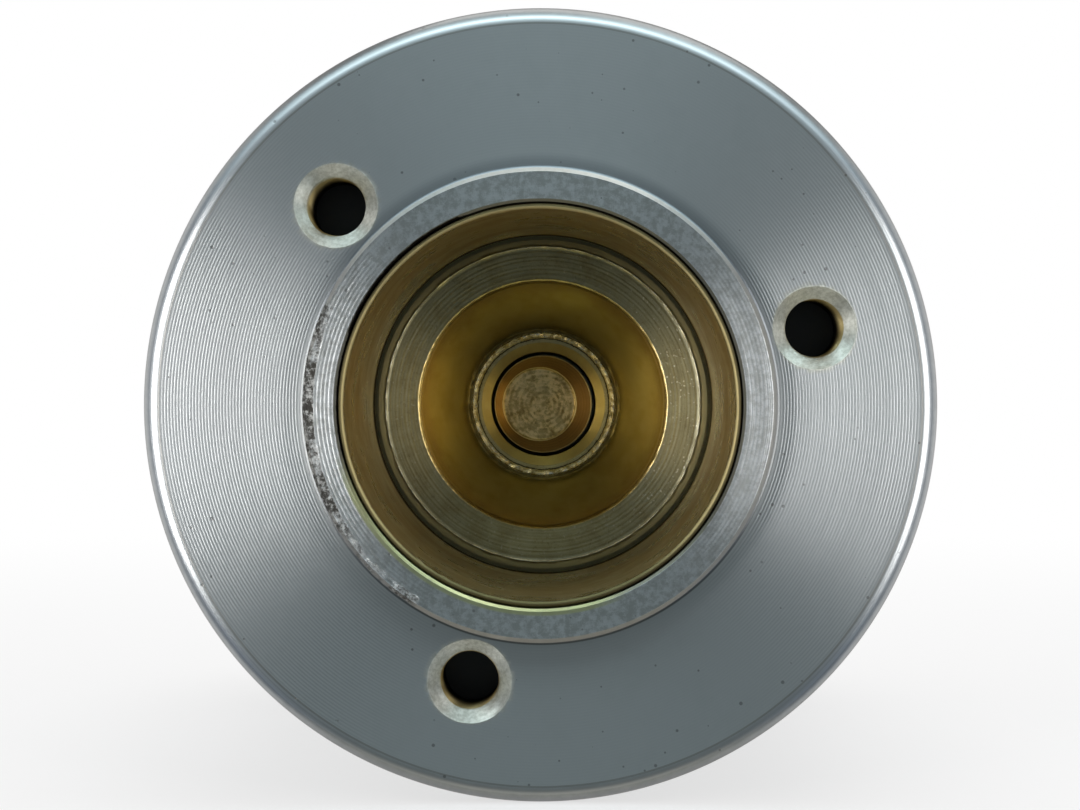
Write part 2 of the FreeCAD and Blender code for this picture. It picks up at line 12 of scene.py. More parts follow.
import bmesh
import bpy
import numpy as np
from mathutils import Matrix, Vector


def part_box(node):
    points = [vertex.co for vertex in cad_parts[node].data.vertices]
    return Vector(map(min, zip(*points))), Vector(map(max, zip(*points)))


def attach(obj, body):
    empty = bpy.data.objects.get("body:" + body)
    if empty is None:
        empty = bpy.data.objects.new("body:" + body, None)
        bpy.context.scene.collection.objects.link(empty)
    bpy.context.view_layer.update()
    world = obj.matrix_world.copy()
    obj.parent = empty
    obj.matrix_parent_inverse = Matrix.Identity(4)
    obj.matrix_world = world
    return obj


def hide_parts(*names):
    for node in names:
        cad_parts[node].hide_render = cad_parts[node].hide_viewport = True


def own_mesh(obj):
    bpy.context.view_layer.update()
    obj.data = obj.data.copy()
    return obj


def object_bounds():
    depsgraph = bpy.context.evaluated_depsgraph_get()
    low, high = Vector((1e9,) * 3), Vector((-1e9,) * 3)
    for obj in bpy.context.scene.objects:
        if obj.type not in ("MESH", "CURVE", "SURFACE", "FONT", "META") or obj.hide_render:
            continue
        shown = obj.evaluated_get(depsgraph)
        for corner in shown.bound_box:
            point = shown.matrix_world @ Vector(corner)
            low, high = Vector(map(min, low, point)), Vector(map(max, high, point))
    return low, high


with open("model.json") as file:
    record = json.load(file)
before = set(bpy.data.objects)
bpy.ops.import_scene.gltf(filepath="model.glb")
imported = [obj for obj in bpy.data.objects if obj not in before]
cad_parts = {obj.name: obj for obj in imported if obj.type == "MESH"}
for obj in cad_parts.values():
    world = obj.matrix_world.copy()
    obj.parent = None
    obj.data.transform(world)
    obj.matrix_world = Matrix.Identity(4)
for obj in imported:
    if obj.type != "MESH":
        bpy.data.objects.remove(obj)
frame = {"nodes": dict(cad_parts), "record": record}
cad_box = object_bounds()

MM = 0.001
TAU = 2 * math.pi

# How near a point lies to a plane that it is on, and how near two corners lie that are one
ON_PLANE = 1e-6
ONE_CORNER = 1e-7

# Sizes that the frame gives
mounts = {mount["name"]: mount for mount in frame["record"]["mounts"]}
can_low, can_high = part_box("housing_can")
sleeve_low, sleeve_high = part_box("plunger_sleeve")
core_low, core_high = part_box("stationary_core")
plate_low, plate_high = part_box("core_plate")
rod_low, rod_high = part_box("contact_rod")
cap_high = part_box("terminal_cap")[1]
BODY_R = can_high[0]
COLLAR_Y = can_low[1]
CAN_END_Y = can_high[1]
BORE_R = mounts["plunger_bore"]["dims"]["r_mm"] * MM
COLLAR_R = mounts["locating_collar"]["dims"]["r_mm"] * MM
SCREW_R = mounts["mounting_screws"]["dims"]["hole_r_mm"] * MM
SCREW_CIRCLE_R = mounts["mounting_screws"]["dims"]["pcd_mm"] * MM / 2
SCREW_COUNT = mounts["mounting_screws"]["dims"]["count"]
FLARED_R = sleeve_high[0]
SLEEVE_Y = sleeve_low[1]
SLEEVE_END_Y = sleeve_high[1]
CORE_Y = core_low[1]
CORE_R = core_high[0]
PLATE_Y = plate_low[1]
PLATE_REAR_Y = plate_high[1]
ROD_Y = rod_low[1]
ROD_END_Y = rod_high[1]
ROD_FLANGE_R = rod_high[0]
CAP_BOSS_Y = cap_high[1]

# Can
FRONT_THICKNESS = 8.0 * MM
SLEEVE_FIT = 0.1 * MM
COLLAR_CHAMFER = 0.3 * MM
COLLAR_BORE_CHAMFER = 0.2 * MM
COLLAR_FILLET = 0.35 * MM
COLLAR_RIDGE = 0.284 * MM
FACE_GROOVE = 0.2268 * MM
RIM_ROUND = 1.2 * MM
CAN_WALL = 3.0 * MM
REAR_WALL = 1.8 * MM
LIP_REACH = 3.8 * MM
LIP_ROUND = 1.5 * MM
SCREW_FIRST_ANGLE = math.radians(15.7)
SCREW_SINK_R = 3.05 * MM
THREAD_PITCH = 0.8 * MM
THREAD_DEPTH = 0.34 * MM
CAN_COLUMNS = 288
FACE_ROWS = 182

# Rings on the collar: grime along its outer edge, and a yellow-green painted reflection of the brass beside
# the tube
GRIME_RING = (16.35 * MM, 17.05 * MM)
BRASS_REFLECTION_RING = (14.5 * MM, 15.05 * MM)

# Tube, core and rod
SLEEVE_WALL = 0.45 * MM
SLEEVE_FLARE = 0.25 * MM
NOSE_R = 13.78 * MM
NOSE_LENGTH = 3.0 * MM
CORE_CHAMFER = 0.6 * MM
CORE_CHAMFER_RISE = 0.12 * MM
RING_OUTER = NOSE_R - CORE_CHAMFER
RING_INNER = RING_OUTER - 2.7 * MM
POCKET_CHAMFER = 0.36 * MM
POCKET_DEPTH = 6.0 * MM
POCKET_FLOOR_R = 6.25 * MM
BURR_R = 6.05 * MM
BURR_WIDTH = 0.16 * MM
BURR_HEIGHT = 0.16 * MM
BURR_SPREAD = 0.42 * MM
CORE_SINK_R = 5.3 * MM
CORE_SINK_DEPTH = 0.32 * MM
CORE_HOLE_R = 4.5 * MM
SPIGOT_R = 10.0 * MM
ROD_R = 4.1 * MM
ROD_CHAMFER = 1.1 * MM
TIP_OFFSET = 0.3 * MM
ROD_FLANGE = 1.6 * MM
ROD_TAIL_R = 3.0 * MM
ROD_END_CHAMFER = 0.5 * MM
CLIP_GROOVE = 0.6 * MM

# Studs
STUD_R = 4.0 * MM
STUD_PITCH = 1.25 * MM
STUD_THREAD = 0.7 * MM
STUD_CHAMFER = 0.8 * MM
RIVET_HEAD = 0.9 * MM

# Fixed end of each spring, and the share of its length that is left when its joint is at its limit
RETURN_SPRING_END_Y = 74.3 * MM
RETURN_SPRING_KEPT = 0.506
BRIDGE_SPRING_Y = 52.6 * MM
BRIDGE_SPRING_KEPT = 0.8

# The photograph's camera, and the studio
CAMERA_PLACE = (1.6 * MM, -200.0 * MM, 0.5 * MM)
CAMERA_LENS = 91.7
FLOOR_R = 1.6
LOW_SLATE = (0.062, 0.076, 0.08, 1)


# Sections and surfaces

def straights(start, *steps):
    """Points along straight stretches of a section, the last end left to what follows.

    Each step is the r and y of a corner, and the number of rows on the way there.
    """
    stretches = []
    for *end, rows in steps:
        stretches.append(np.linspace(start, end, rows, endpoint=False))
        start = end
    return np.vstack(stretches)


def rounding(centre, radius, first, last, rows):
    """Points along an arc of a section, its end left out. Angles run in degrees from outwards towards +Y."""
    angle = np.radians(np.linspace(first, last, rows, endpoint=False))
    return np.column_stack([centre[0] + radius * np.cos(angle), centre[1] + radius * np.sin(angle)])


def carried_round(section, columns):
    """Grid of points (section, columns, 3): each (r, y) of a section carried round the Y axis.

    x = r cos(a) and z = r sin(a), where a runs once round in even steps.
    """
    angle = np.arange(columns) * TAU / columns
    r = section[:, 0, None]
    y = np.repeat(section[:, 1, None], columns, axis=1)
    return np.stack([r * np.cos(angle), y, r * np.sin(angle)], axis=-1)


def grid_faces(rows, columns, closed_rows):
    """Quads of a grid that closes on itself across its columns, and also along its rows if closed_rows."""
    last = rows if closed_rows else rows - 1
    row, column = np.meshgrid(np.arange(last), np.arange(columns), indexing="ij")
    below = (row + 1) % rows
    beside = (column + 1) % columns
    corners = [
        row * columns + column,
        row * columns + beside,
        below * columns + beside,
        below * columns + column,
    ]
    return np.stack(corners, axis=-1).reshape(-1, 4)


def round_tube(values, columns):
    """A value for each row of a tube and an angle for each column, both as (rows, columns)."""
    grid = np.repeat(np.asarray(values)[:, None], columns, axis=1)
    return grid, np.broadcast_to(np.arange(columns) * TAU / columns, grid.shape)


def tube_points(x, z, y, radius, angle):
    """Points of a tube along Y about x and z. Both its ends are drawn together to one point."""
    side = np.stack([x + radius * np.cos(angle), y, z + radius * np.sin(angle)], axis=-1)
    start, end = (np.broadcast_to([x, end_y, z], (1, y.shape[1], 3)) for end_y in (y[0, 0], y[-1, 0]))
    return np.concatenate([start, side, end])


def polar(points):
    """Distance from the Y axis, and angle round it, of points (..., 3)."""
    return np.hypot(points[..., 0], points[..., 2]), np.arctan2(points[..., 2], points[..., 0])


def lattice_noise(angle, across, cells_round, cells_across, seed):
    """Smooth value noise from -1 to 1.

    Random values stand on a lattice of cells_round by cells_across, which closes on itself round the axis.
    Between them the value follows a cosine step both ways. across runs from 0 to 1.
    """
    values = np.random.default_rng(seed).uniform(-1, 1, (cells_round, cells_across + 2))
    u = (angle / TAU % 1.0) * cells_round
    v = np.clip(across, 0, 1) * cells_across
    i = np.floor(u).astype(int)
    j = np.floor(v).astype(int)
    fu = (1 - np.cos(np.pi * (u - i))) / 2
    fv = (1 - np.cos(np.pi * (v - j))) / 2
    near = values[i % cells_round, j] * (1 - fu) + values[(i + 1) % cells_round, j] * fu
    far = values[i % cells_round, j + 1] * (1 - fu) + values[(i + 1) % cells_round, j + 1] * fu
    return near * (1 - fv) + far * fv


def window(angle, first, last, soft):
    """1 between two angles in degrees, falling to 0 over soft degrees outside them."""
    middle = math.radians((first + last) / 2)
    half = math.radians((last - first) / 2)
    away = np.abs((angle - middle + math.pi) % TAU - math.pi)
    return 1 - smooth_step(away, half, half + math.radians(soft))


def smooth_step(value, low, high):
    """0 up to low, 1 from high, and an S-shaped rise between them."""
    t = np.clip((value - low) / (high - low), 0, 1)
    return t * t * (3 - 2 * t)


def band(value, low, high, soft):
    """1 between low and high, falling to 0 over soft outside them."""
    return smooth_step(value, low - soft, low) * (1 - smooth_step(value, high, high + soft))


def new_object(name, data):
    """Object with some data, linked to the scene."""
    made = bpy.data.objects.new(name, data)
    bpy.context.scene.collection.objects.link(made)
    return made


def piece_mesh(name, points, faces, sharp=32):
    """Object with these points and faces: poles merged, faces turned outwards, edges sharp past an angle."""
    mesh = bpy.data.meshes.new(name)
    mesh.from_pydata(points.reshape(-1, 3), [], faces)
    work = bmesh.new()
    work.from_mesh(mesh)
    bmesh.ops.remove_doubles(work, verts=work.verts, dist=1e-8)
    if work.calc_volume(signed=True) < 0:
        bmesh.ops.reverse_faces(work, faces=work.faces)
    work.to_mesh(mesh)
    work.free()
    finish_shading(mesh, sharp)
    return new_object(name, mesh)


def finish_shading(mesh, sharp):
    """Smooth shading, broken at edges sharper than the angle in degrees."""
    mesh.shade_smooth()
    mesh.set_sharp_from_angle(angle=math.radians(sharp))


def turned(name, stretches, columns, relief=None, closed=True, sharp=32):
    """Turned piece: stretches of a section carried round the Y axis.

    relief(points) gives how far each point is moved outwards from the metal, along the section's normal.
    A closed section returns to its own start, and an open one begins and ends on the axis.
    """
    section = np.vstack(stretches)
    points = carried_round(section, columns)
    if relief is not None:
        points = points + relief(points)[..., None] * section_normals(section, closed, points)
    return piece_mesh(name, points, grid_faces(len(section), columns, closed), sharp)


def section_normals(section, closed, points):
    """Outward normals of a section's points, carried round with them."""
    if closed:
        along = np.roll(section, -1, axis=0) - np.roll(section, 1, axis=0)
        following = np.roll(section, -1, axis=0)
    else:
        along = np.gradient(section, axis=0)
        following = np.vstack([section[1:], section[-1:]])
    length = np.linalg.norm(along, axis=1, keepdims=True)
    along = along / np.maximum(length, 1e-12)
    area = np.sum(section[:, 0] * following[:, 1] - following[:, 0] * section[:, 1])
    side = 1 if area > 0 else -1
    radial = (side * along[:, 1])[:, None]
    axial = (-side * along[:, 0])[:, None]
    angle = polar(points)[1]
    axial = np.broadcast_to(axial, angle.shape)
    return np.stack([radial * np.cos(angle), axial, radial * np.sin(angle)], axis=-1)


def cut_out(piece, cutter, sharp):
    """Takes a cutter's volume out of a piece, and removes the cutter."""
    tool = piece.modifiers.new("cut", "BOOLEAN")
    tool.operation = "DIFFERENCE"
    tool.solver = "EXACT"
    tool.object = cutter
    seen = piece.evaluated_get(bpy.context.evaluated_depsgraph_get())
    mesh = bpy.data.meshes.new_from_object(seen)
    piece.modifiers.remove(tool)
    old = piece.data
    piece.data = mesh
    bpy.data.meshes.remove(old)
    bpy.data.objects.remove(cutter)
    finish_shading(mesh, sharp)


# Can

def screw_angles():
    """Angles of the tapped holes."""
    return [SCREW_FIRST_ANGLE + TAU * i / SCREW_COUNT for i in range(SCREW_COUNT)]


def can_sections():
    """Stretches of the can's section, from the back of its front bore round the outside to the inside."""
    bore = sleeve_radius() + SLEEVE_FIT
    foot = COLLAR_R + COLLAR_FILLET
    flat_end = BODY_R - RIM_ROUND
    edge = REAR_WALL / 3
    mouth = BODY_R - LIP_REACH + edge
    lip_y = CAN_END_Y - REAR_WALL
    lip_start = CAN_END_Y - LIP_ROUND
    rear = BODY_R - REAR_WALL
    inner = BODY_R - CAN_WALL
    return [
        straights(
            (bore, FRONT_THICKNESS),
            (bore, COLLAR_Y + COLLAR_BORE_CHAMFER, 2),
            (bore + COLLAR_BORE_CHAMFER, COLLAR_Y, 5),
            (COLLAR_R - COLLAR_CHAMFER, COLLAR_Y, 24),
            (COLLAR_R, COLLAR_Y + COLLAR_CHAMFER, 6),
            (COLLAR_R, -COLLAR_FILLET, 6),
        ),
        rounding((foot, -COLLAR_FILLET), COLLAR_FILLET, 180, 90, 4),
        straights((foot, 0), (flat_end, 0, FACE_ROWS)),
        rounding((flat_end, RIM_ROUND), RIM_ROUND, -90, 0, 10),
        straights((BODY_R, RIM_ROUND), (BODY_R, lip_start, 6)),
        rounding((BODY_R - LIP_ROUND, lip_start), LIP_ROUND, 0, 90, 8),
        rounding((mouth, CAN_END_Y - edge), edge, 90, 180, 4),
        rounding((mouth, lip_y + edge), edge, 180, 270, 4),
        straights(
            (mouth, lip_y),
            (rear, lip_y, 2),
            (rear, PLATE_Y, 2),
            (inner, PLATE_Y, 2),
            (inner, FRONT_THICKNESS, 2),
            (bore, FRONT_THICKNESS, 2),
        ),
    ]


def sleeve_radius():
    """Outer radius of the tube in front of its flare."""
    return BORE_R + SLEEVE_WALL


def mark_strength(angle):
    """Depth of the tool marks round the can's face: deepest at both sides, hardly any at top and bottom."""
    return 0.1 + 0.95 * window(angle, -30, 26, 26) + 0.75 * window(angle, 150, 226, 24)


def can_relief(points):
    """Tool marks on the can: fine grooves on its face, coarse ridges on its collar, a bruised collar edge.

    Each set of marks is a sine of the radius, deepest at both sides of the face. Noise changes its depth.
    """
    r, angle = polar(points)
    y = points[..., 1]
    on_face = (np.abs(y) < ON_PLANE) * band(r, COLLAR_R + 0.55 * MM, BODY_R - RIM_ROUND - 0.4 * MM, 0.15 * MM)
    across = (r - COLLAR_R) / (BODY_R - COLLAR_R)
    cut = mark_strength(angle)
    depth = 0.0034 * MM * cut * (1 + 0.3 * lattice_noise(angle, across, 17, 60, 12))
    depth = depth * (1 + 0.35 * window(angle, -40, 30, 20))
    grooves = depth * np.sin(TAU * r / FACE_GROOVE)
    on_collar = band(r, BORE_R + 1.0 * MM, COLLAR_R - COLLAR_CHAMFER, 0.1 * MM)
    on_collar = on_collar * (np.abs(y - COLLAR_Y) < ON_PLANE)
    across = (r - BORE_R) / (COLLAR_R - BORE_R)
    ridge_depth = 0.008 * MM * cut * (1 + 0.6 * lattice_noise(angle, across, 11, 6, 13))
    ridges = ridge_depth * np.sin(TAU * r / COLLAR_RIDGE)
    chatter = 0.006 * MM * window(angle, 152, 176, 8) * np.sin(angle * 180)
    edge = band(r, COLLAR_R - 0.9 * MM, COLLAR_R + 0.05 * MM, 0.2 * MM)
    edge = edge * (y < COLLAR_Y + 1.2 * COLLAR_CHAMFER)
    bruised = 0.15 + window(angle, 150, 236, 10)
    bruises = 0.02 * MM * bruised * lattice_noise(angle, across, 340, 9, 14)
    dents = 0.05 * MM * bruised * np.minimum(lattice_noise(angle, across, 90, 5, 15) + 0.35, 0)
    return on_face * grooves + on_collar * (ridges + chatter) + edge * (bruises + dents)


def thread_depth(angle, y, pitch):
    """0 at a thread's crest and 1 at its root: a triangle wave of the place along the helix, with flats."""
    phase = (y / pitch - angle / TAU) % 1.0
    return np.clip(np.abs(2 * phase - 1) * 1.35 - 0.175, 0, 1)


def screw_cutter(angle_on_face, seed):
    """Shape of one tapped hole: a rough countersink, then the bore with its thread cut into the wall.

    The radius falls from the countersink's edge along a cone, and behind it grows by the thread's depth.
    """
    columns = 60
    past = 0.5 * MM
    sink = np.linspace(-past, 1.1 * MM, 20)
    y, angle = round_tube(np.concatenate([sink, np.linspace(1.14 * MM, FRONT_THICKNESS + past, 74)]), columns)
    rough = 0.014 * MM * lattice_noise(angle, y / MM, 40, 5, seed)
    rough = rough + 0.04 * MM * lattice_noise(angle, y / MM, 7, 2, seed + 1)
    cut_in = smooth_step(y, 0.5 * MM, 1.5 * MM)
    wall = SCREW_R + cut_in * THREAD_DEPTH * thread_depth(angle + seed, y, THREAD_PITCH)
    radius = np.maximum(SCREW_SINK_R - y + rough, wall)
    x = SCREW_CIRCLE_R * math.cos(angle_on_face)
    z = SCREW_CIRCLE_R * math.sin(angle_on_face)
    points = tube_points(x, z, y, radius, angle)
    return piece_mesh("cutter", points, grid_faces(len(points), columns, False))


def store(piece, name, values):
    """Keeps one number for each point of a piece, for its material to read."""
    kept = piece.data.attributes.new(name, "FLOAT", "POINT")
    kept.data.foreach_set("value", np.asarray(values, dtype=np.float32).ravel())


def points_of(piece):
    """Points of a piece's mesh, (count, 3)."""
    flat = np.empty(len(piece.data.vertices) * 3, dtype=np.float32)
    piece.data.vertices.foreach_get("co", flat)
    return flat.reshape(-1, 3).astype(float)


def bruise_shape(angle):
    """How strongly the collar's outer edge is soiled: most at the left, less towards both ends of the arc."""
    whole = window(angle, 156, 236, 8)
    worst = window(angle, 174, 202, 12)
    return whole * (0.82 + 0.18 * worst + 0.12 * lattice_noise(angle, np.zeros_like(angle), 70, 1, 17))


def housing_can():
    """The can, with its tool marks and tapped holes, and the masks that its finish reads."""
    can = turned("can_body", can_sections(), CAN_COLUMNS, can_relief)
    for i, angle in enumerate(screw_angles()):
        cut_out(can, screw_cutter(angle, 21 + 2 * i), 32)
    points = points_of(can)
    r, angle = polar(points)
    y = points[:, 1]
    holes = np.stack([
        np.hypot(points[:, 0] - SCREW_CIRCLE_R * math.cos(a), points[:, 2] - SCREW_CIRCLE_R * math.sin(a))
        for a in screw_angles()
    ])
    to_hole = holes.min(axis=0)
    in_front = y < FRONT_THICKNESS + ON_PLANE
    store(can, "hole", in_front * (1 - smooth_step(to_hole, SCREW_SINK_R, SCREW_SINK_R + 0.12 * MM)))
    store(can, "depth", np.clip(y / FRONT_THICKNESS, 0, 1))
    store(can, "cut", mark_strength(angle))
    # Painted shade in the gap between collar and tube, strongest at the upper left.
    crevice_shade = np.maximum(0.7 * window(angle, 116, 156, 10), 0.4 * window(angle, 156, 204, 12))
    store(can, "crevice_shade", crevice_shade * (y < 0))
    store(can, "bruise", bruise_shape(angle) * band(r, *GRIME_RING, 0.18 * MM) * (y < 0))
    # Painted reflection of the brass tube: a yellow-green band on the collar beside the tube, lower left.
    store(can, "brass_reflection", window(angle, 208, 282, 16) * band(r, *BRASS_REFLECTION_RING, 0.15 * MM) * (y < 0))
    foot = band(r, COLLAR_R, COLLAR_R + 0.35 * MM, 1.1 * MM) * (y > -0.4 * MM)
    store(can, "shade", window(angle, 30, 140, 40) * foot)
    return can


# Tube, core and rod

def plunger_sleeve():
    """Brass tube: its lip, its long wall with faint dents, and the flare that takes the core."""
    outer = sleeve_radius()
    flared = FLARED_R - SLEEVE_WALL
    flare_y = CORE_Y + SLEEVE_FLARE
    lip = SLEEVE_WALL / 2
    return turned("guide_tube", [
        rounding((BORE_R + lip, SLEEVE_Y + lip), lip, 180, 360, 12),
        straights(
            (outer, SLEEVE_Y + lip),
            (outer, CORE_Y, 4),
            (FLARED_R, flare_y, 2),
            (FLARED_R, SLEEVE_END_Y, 2),
            (flared, SLEEVE_END_Y, 2),
            (flared, flare_y, 4),
            (BORE_R, CORE_Y, 3),
            (BORE_R, SLEEVE_Y + lip, 70),
        ),
    ], 256, sleeve_relief)


def sleeve_relief(points):
    """Faint waves along the tube's bore, and a lip that isn't quite even."""
    r, angle = polar(points)
    y = points[..., 1]
    along = (y - SLEEVE_Y) / (CORE_Y - SLEEVE_Y)
    inside = (r < BORE_R + 0.01 * MM) & (y < CORE_Y - 0.5 * MM)
    waves = 0.022 * MM * lattice_noise(angle, along, 6, 11, 31)
    waves = waves + 0.004 * MM * lattice_noise(angle, along, 26, 30, 32)
    lip = y < SLEEVE_Y + SLEEVE_WALL / 2
    uneven = 0.03 * MM * lattice_noise(angle, along, 60, 1, 33)
    uneven = uneven + 0.02 * MM * lattice_noise(angle, along, 160, 1, 34)
    return inside * waves - lip * np.abs(uneven)


def stationary_core():
    """Pole piece: flat ring with broken edges, cone pocket, burr and countersunk hole, spigot behind."""
    nose_y = CORE_Y + NOSE_LENGTH
    floor_y = CORE_Y + POCKET_DEPTH
    rolled = np.linspace(0, 1, 8, endpoint=False)
    return turned("pole_core", [
        straights(
            (CORE_HOLE_R, PLATE_REAR_Y),
            (SPIGOT_R, PLATE_REAR_Y, 2),
            (SPIGOT_R, PLATE_Y, 2),
            (CORE_R, PLATE_Y, 2),
            (CORE_R, nose_y, 2),
            (NOSE_R, nose_y, 2),
            (NOSE_R, CORE_Y + CORE_CHAMFER_RISE, 4),
            (RING_OUTER, CORE_Y, 8),
            (RING_INNER, CORE_Y, 40),
        ),
        np.column_stack([RING_INNER - POCKET_CHAMFER * rolled, CORE_Y + POCKET_CHAMFER * rolled ** 1.8]),
        straights(
            (RING_INNER - POCKET_CHAMFER, CORE_Y + POCKET_CHAMFER),
            (POCKET_FLOOR_R, floor_y, 40),
            (BURR_R + BURR_WIDTH, floor_y, 4),
            (BURR_R, floor_y - BURR_HEIGHT, 5),
            (BURR_R - BURR_SPREAD, floor_y, 6),
            (CORE_SINK_R, floor_y, 5),
            (CORE_HOLE_R, floor_y + CORE_SINK_DEPTH, 8),
            (CORE_HOLE_R, PLATE_REAR_Y, 8),
        ),
    ], 288, core_relief, sharp=38)


def core_relief(points):
    """Turning marks on the core's ring and cone, torn chamfer edges and an uneven burr."""
    r, angle = polar(points)
    y = points[..., 1]
    across = r / NOSE_R
    before_chamfer = y < CORE_Y + CORE_CHAMFER_RISE
    floor_y = CORE_Y + POCKET_DEPTH
    on_ring = band(r, RING_INNER + 0.1 * MM, RING_OUTER - 0.1 * MM, 0.1 * MM) * (np.abs(y - CORE_Y) < ON_PLANE)
    marks = 0.008 * MM * (1 + 0.7 * lattice_noise(angle, across, 23, 40, 41)) * np.sin(TAU * r / (0.37 * MM))
    pits = 0.012 * MM * np.minimum(lattice_noise(angle, across, 250, 90, 42) + 0.45, 0)
    outer_edge = band(r, RING_OUTER - 0.03 * MM, RING_OUTER + 0.15 * MM, 0.03 * MM) * before_chamfer
    inner_edge = band(r, RING_INNER - 0.12 * MM, RING_INNER + 0.04 * MM, 0.03 * MM)
    inner_edge = inner_edge * (y < CORE_Y + POCKET_CHAMFER)
    torn = 0.03 * MM * lattice_noise(angle, across, 210, 30, 43)
    ridge = 0.06 * MM * np.exp(-((r - RING_OUTER) / (0.1 * MM)) ** 2) * before_chamfer
    ridge = ridge * (1 + 0.6 * lattice_noise(angle, across, 170, 2, 47))
    on_cone = (y > CORE_Y + POCKET_CHAMFER + ON_PLANE) & (y < floor_y - ON_PLANE)
    cone_marks = 0.0016 * MM * np.sin(TAU * r / (0.21 * MM))
    cone_marks = cone_marks * (1 + 0.5 * lattice_noise(angle, across, 13, 30, 44))
    at_burr = band(r, BURR_R - 0.25 * MM, BURR_R + 0.08 * MM, 0.1 * MM)
    at_burr = at_burr * (y > floor_y - 0.5 * MM) * (y < floor_y + 0.3 * MM)
    ragged = 0.5 * lattice_noise(angle, across, 46, 2, 45) + lattice_noise(angle, across, 144, 40, 46)
    edges = (outer_edge + inner_edge) * torn + ridge
    return on_ring * (marks + pits) + edges + on_cone * cone_marks + at_burr * 0.045 * MM * ragged


def contact_rod():
    """Rod: flat tip with a turned chamfer, shank in the core, flange and grooved tail behind it.

    The tip's flat is moved sideways, so the chamfer is wider on one side, as on the real rod.
    """
    clip_low, clip_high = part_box("rod_clip")
    play = 0.05 * MM
    groove_start = clip_low[1] - play
    groove_end = clip_high[1] + play
    groove_r = ROD_TAIL_R - CLIP_GROOVE
    flange_end = PLATE_REAR_Y + ROD_FLANGE
    tip_r = ROD_R - ROD_CHAMFER
    rolled = 0.08 * MM
    rod = turned("rod_finish", [
        straights((0, ROD_Y), (tip_r - rolled, ROD_Y, 44)),
        rounding((tip_r - rolled, ROD_Y + rolled), rolled, -90, -45, 4),
        straights(
            (tip_r, ROD_Y + 0.03 * MM),
            (ROD_R, ROD_Y + ROD_CHAMFER, 14),
            (ROD_R, PLATE_REAR_Y, 8),
            (ROD_FLANGE_R, PLATE_REAR_Y, 2),
            (ROD_FLANGE_R, flange_end, 2),
            (ROD_TAIL_R, flange_end, 2),
            (ROD_TAIL_R, groove_start, 2),
            (groove_r, groove_start, 2),
            (groove_r, groove_end, 2),
            (ROD_TAIL_R, groove_end, 2),
            (ROD_TAIL_R, ROD_END_Y - ROD_END_CHAMFER, 2),
            (ROD_TAIL_R - ROD_END_CHAMFER, ROD_END_Y, 2),
        ),
        np.array([(ROD_TAIL_R - ROD_END_CHAMFER, ROD_END_Y), (0, ROD_END_Y)]),
    ], 144, rod_relief, closed=False)
    points = points_of(rod)
    at_tip = 1 - smooth_step(points[:, 1], ROD_Y + 0.1 * MM, ROD_Y + ROD_CHAMFER)
    points[:, 0] -= TIP_OFFSET * at_tip
    rod.data.vertices.foreach_set("co", points.ravel())
    finish_shading(rod.data, 32)
    return rod


def rod_relief(points):
    """Facing marks on the rod's tip, with the little pip that the tool leaves in the middle."""
    r, angle = polar(points)
    on_tip = np.abs(points[..., 1] - ROD_Y) < ON_PLANE
    across = r / ROD_R
    marks = 0.0014 * MM * (1 + 0.9 * lattice_noise(angle, across, 9, 12, 51)) * np.sin(TAU * r / (0.42 * MM))
    pip = 0.006 * MM * np.exp(-(r / (0.3 * MM)) ** 2)
    worn = -0.02 * MM * smooth_step(r, 2.2 * MM, 3.0 * MM) * (1 + lattice_noise(angle, across, 21, 4, 52))
    return on_tip * (marks + pip + worn)


# Studs

def threaded_stud(name, node):
    """Copper stud: the head as it is, and a shank with its thread from the boss to the chamfered end.

    The thread's radius is the stud's, less its depth times a triangle wave along the helix. It runs out at
    the boss.
    """
    low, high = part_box(node)
    middle_x = round((low[0] + high[0]) / 2, 4)
    roof_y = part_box("switch_rivet")[0][1] + RIVET_HEAD
    columns = 64
    rows = np.concatenate([[roof_y, CAP_BOSS_Y - 0.4 * MM], np.linspace(CAP_BOSS_Y, high[1], 150)])
    y, angle = round_tube(rows, columns)
    started = smooth_step(y, CAP_BOSS_Y, CAP_BOSS_Y + STUD_PITCH)
    radius = STUD_R - started * STUD_THREAD * thread_depth(angle, y, STUD_PITCH)
    radius = np.minimum(radius, STUD_R - STUD_CHAMFER + (high[1] - y))
    points = tube_points(middle_x, 0, y, radius, angle)
    shank = piece_mesh(name, points, grid_faces(len(points), columns, False), 40)
    add_head(shank, node, roof_y)
    return shank


def add_head(piece, node, roof_y):
    """Joins a stud's head, which is its solid in front of the cap's roof, to its shank."""
    work = bmesh.new()
    work.from_mesh(frame["nodes"][node].data)
    bmesh.ops.remove_doubles(work, verts=work.verts, dist=ONE_CORNER)
    everything = work.verts[:] + work.edges[:] + work.faces[:]
    cut = bmesh.ops.bisect_plane(
        work, geom=everything, plane_co=(0, roof_y + ON_PLANE, 0), plane_no=(0, 1, 0), clear_outer=True)
    bmesh.ops.contextual_create(work, geom=[e for e in cut["geom_cut"] if isinstance(e, bmesh.types.BMEdge)])
    work.from_mesh(piece.data)
    work.to_mesh(piece.data)
    work.free()
    finish_shading(piece.data, 40)


# Solder and edges of the pieces that keep their solids

def solder_bead(x, z, start, height, base, seed):
    """Solder drawn up round a wire: its radius falls from the base to the wire along a hollow curve."""
    columns = 40
    wire = 0.62 * MM
    t, angle = round_tube(np.linspace(0, 1, 14), columns)
    uneven = 1 + 0.12 * lattice_noise(angle, t, 5, 2, seed)
    radius = wire + (base * uneven - wire) * (1 - t) ** 1.7 + 0.2 * MM * np.sin(np.pi * t)
    points = tube_points(x, z, start + height * t, radius, angle)
    return points, grid_faces(len(points), columns, False)


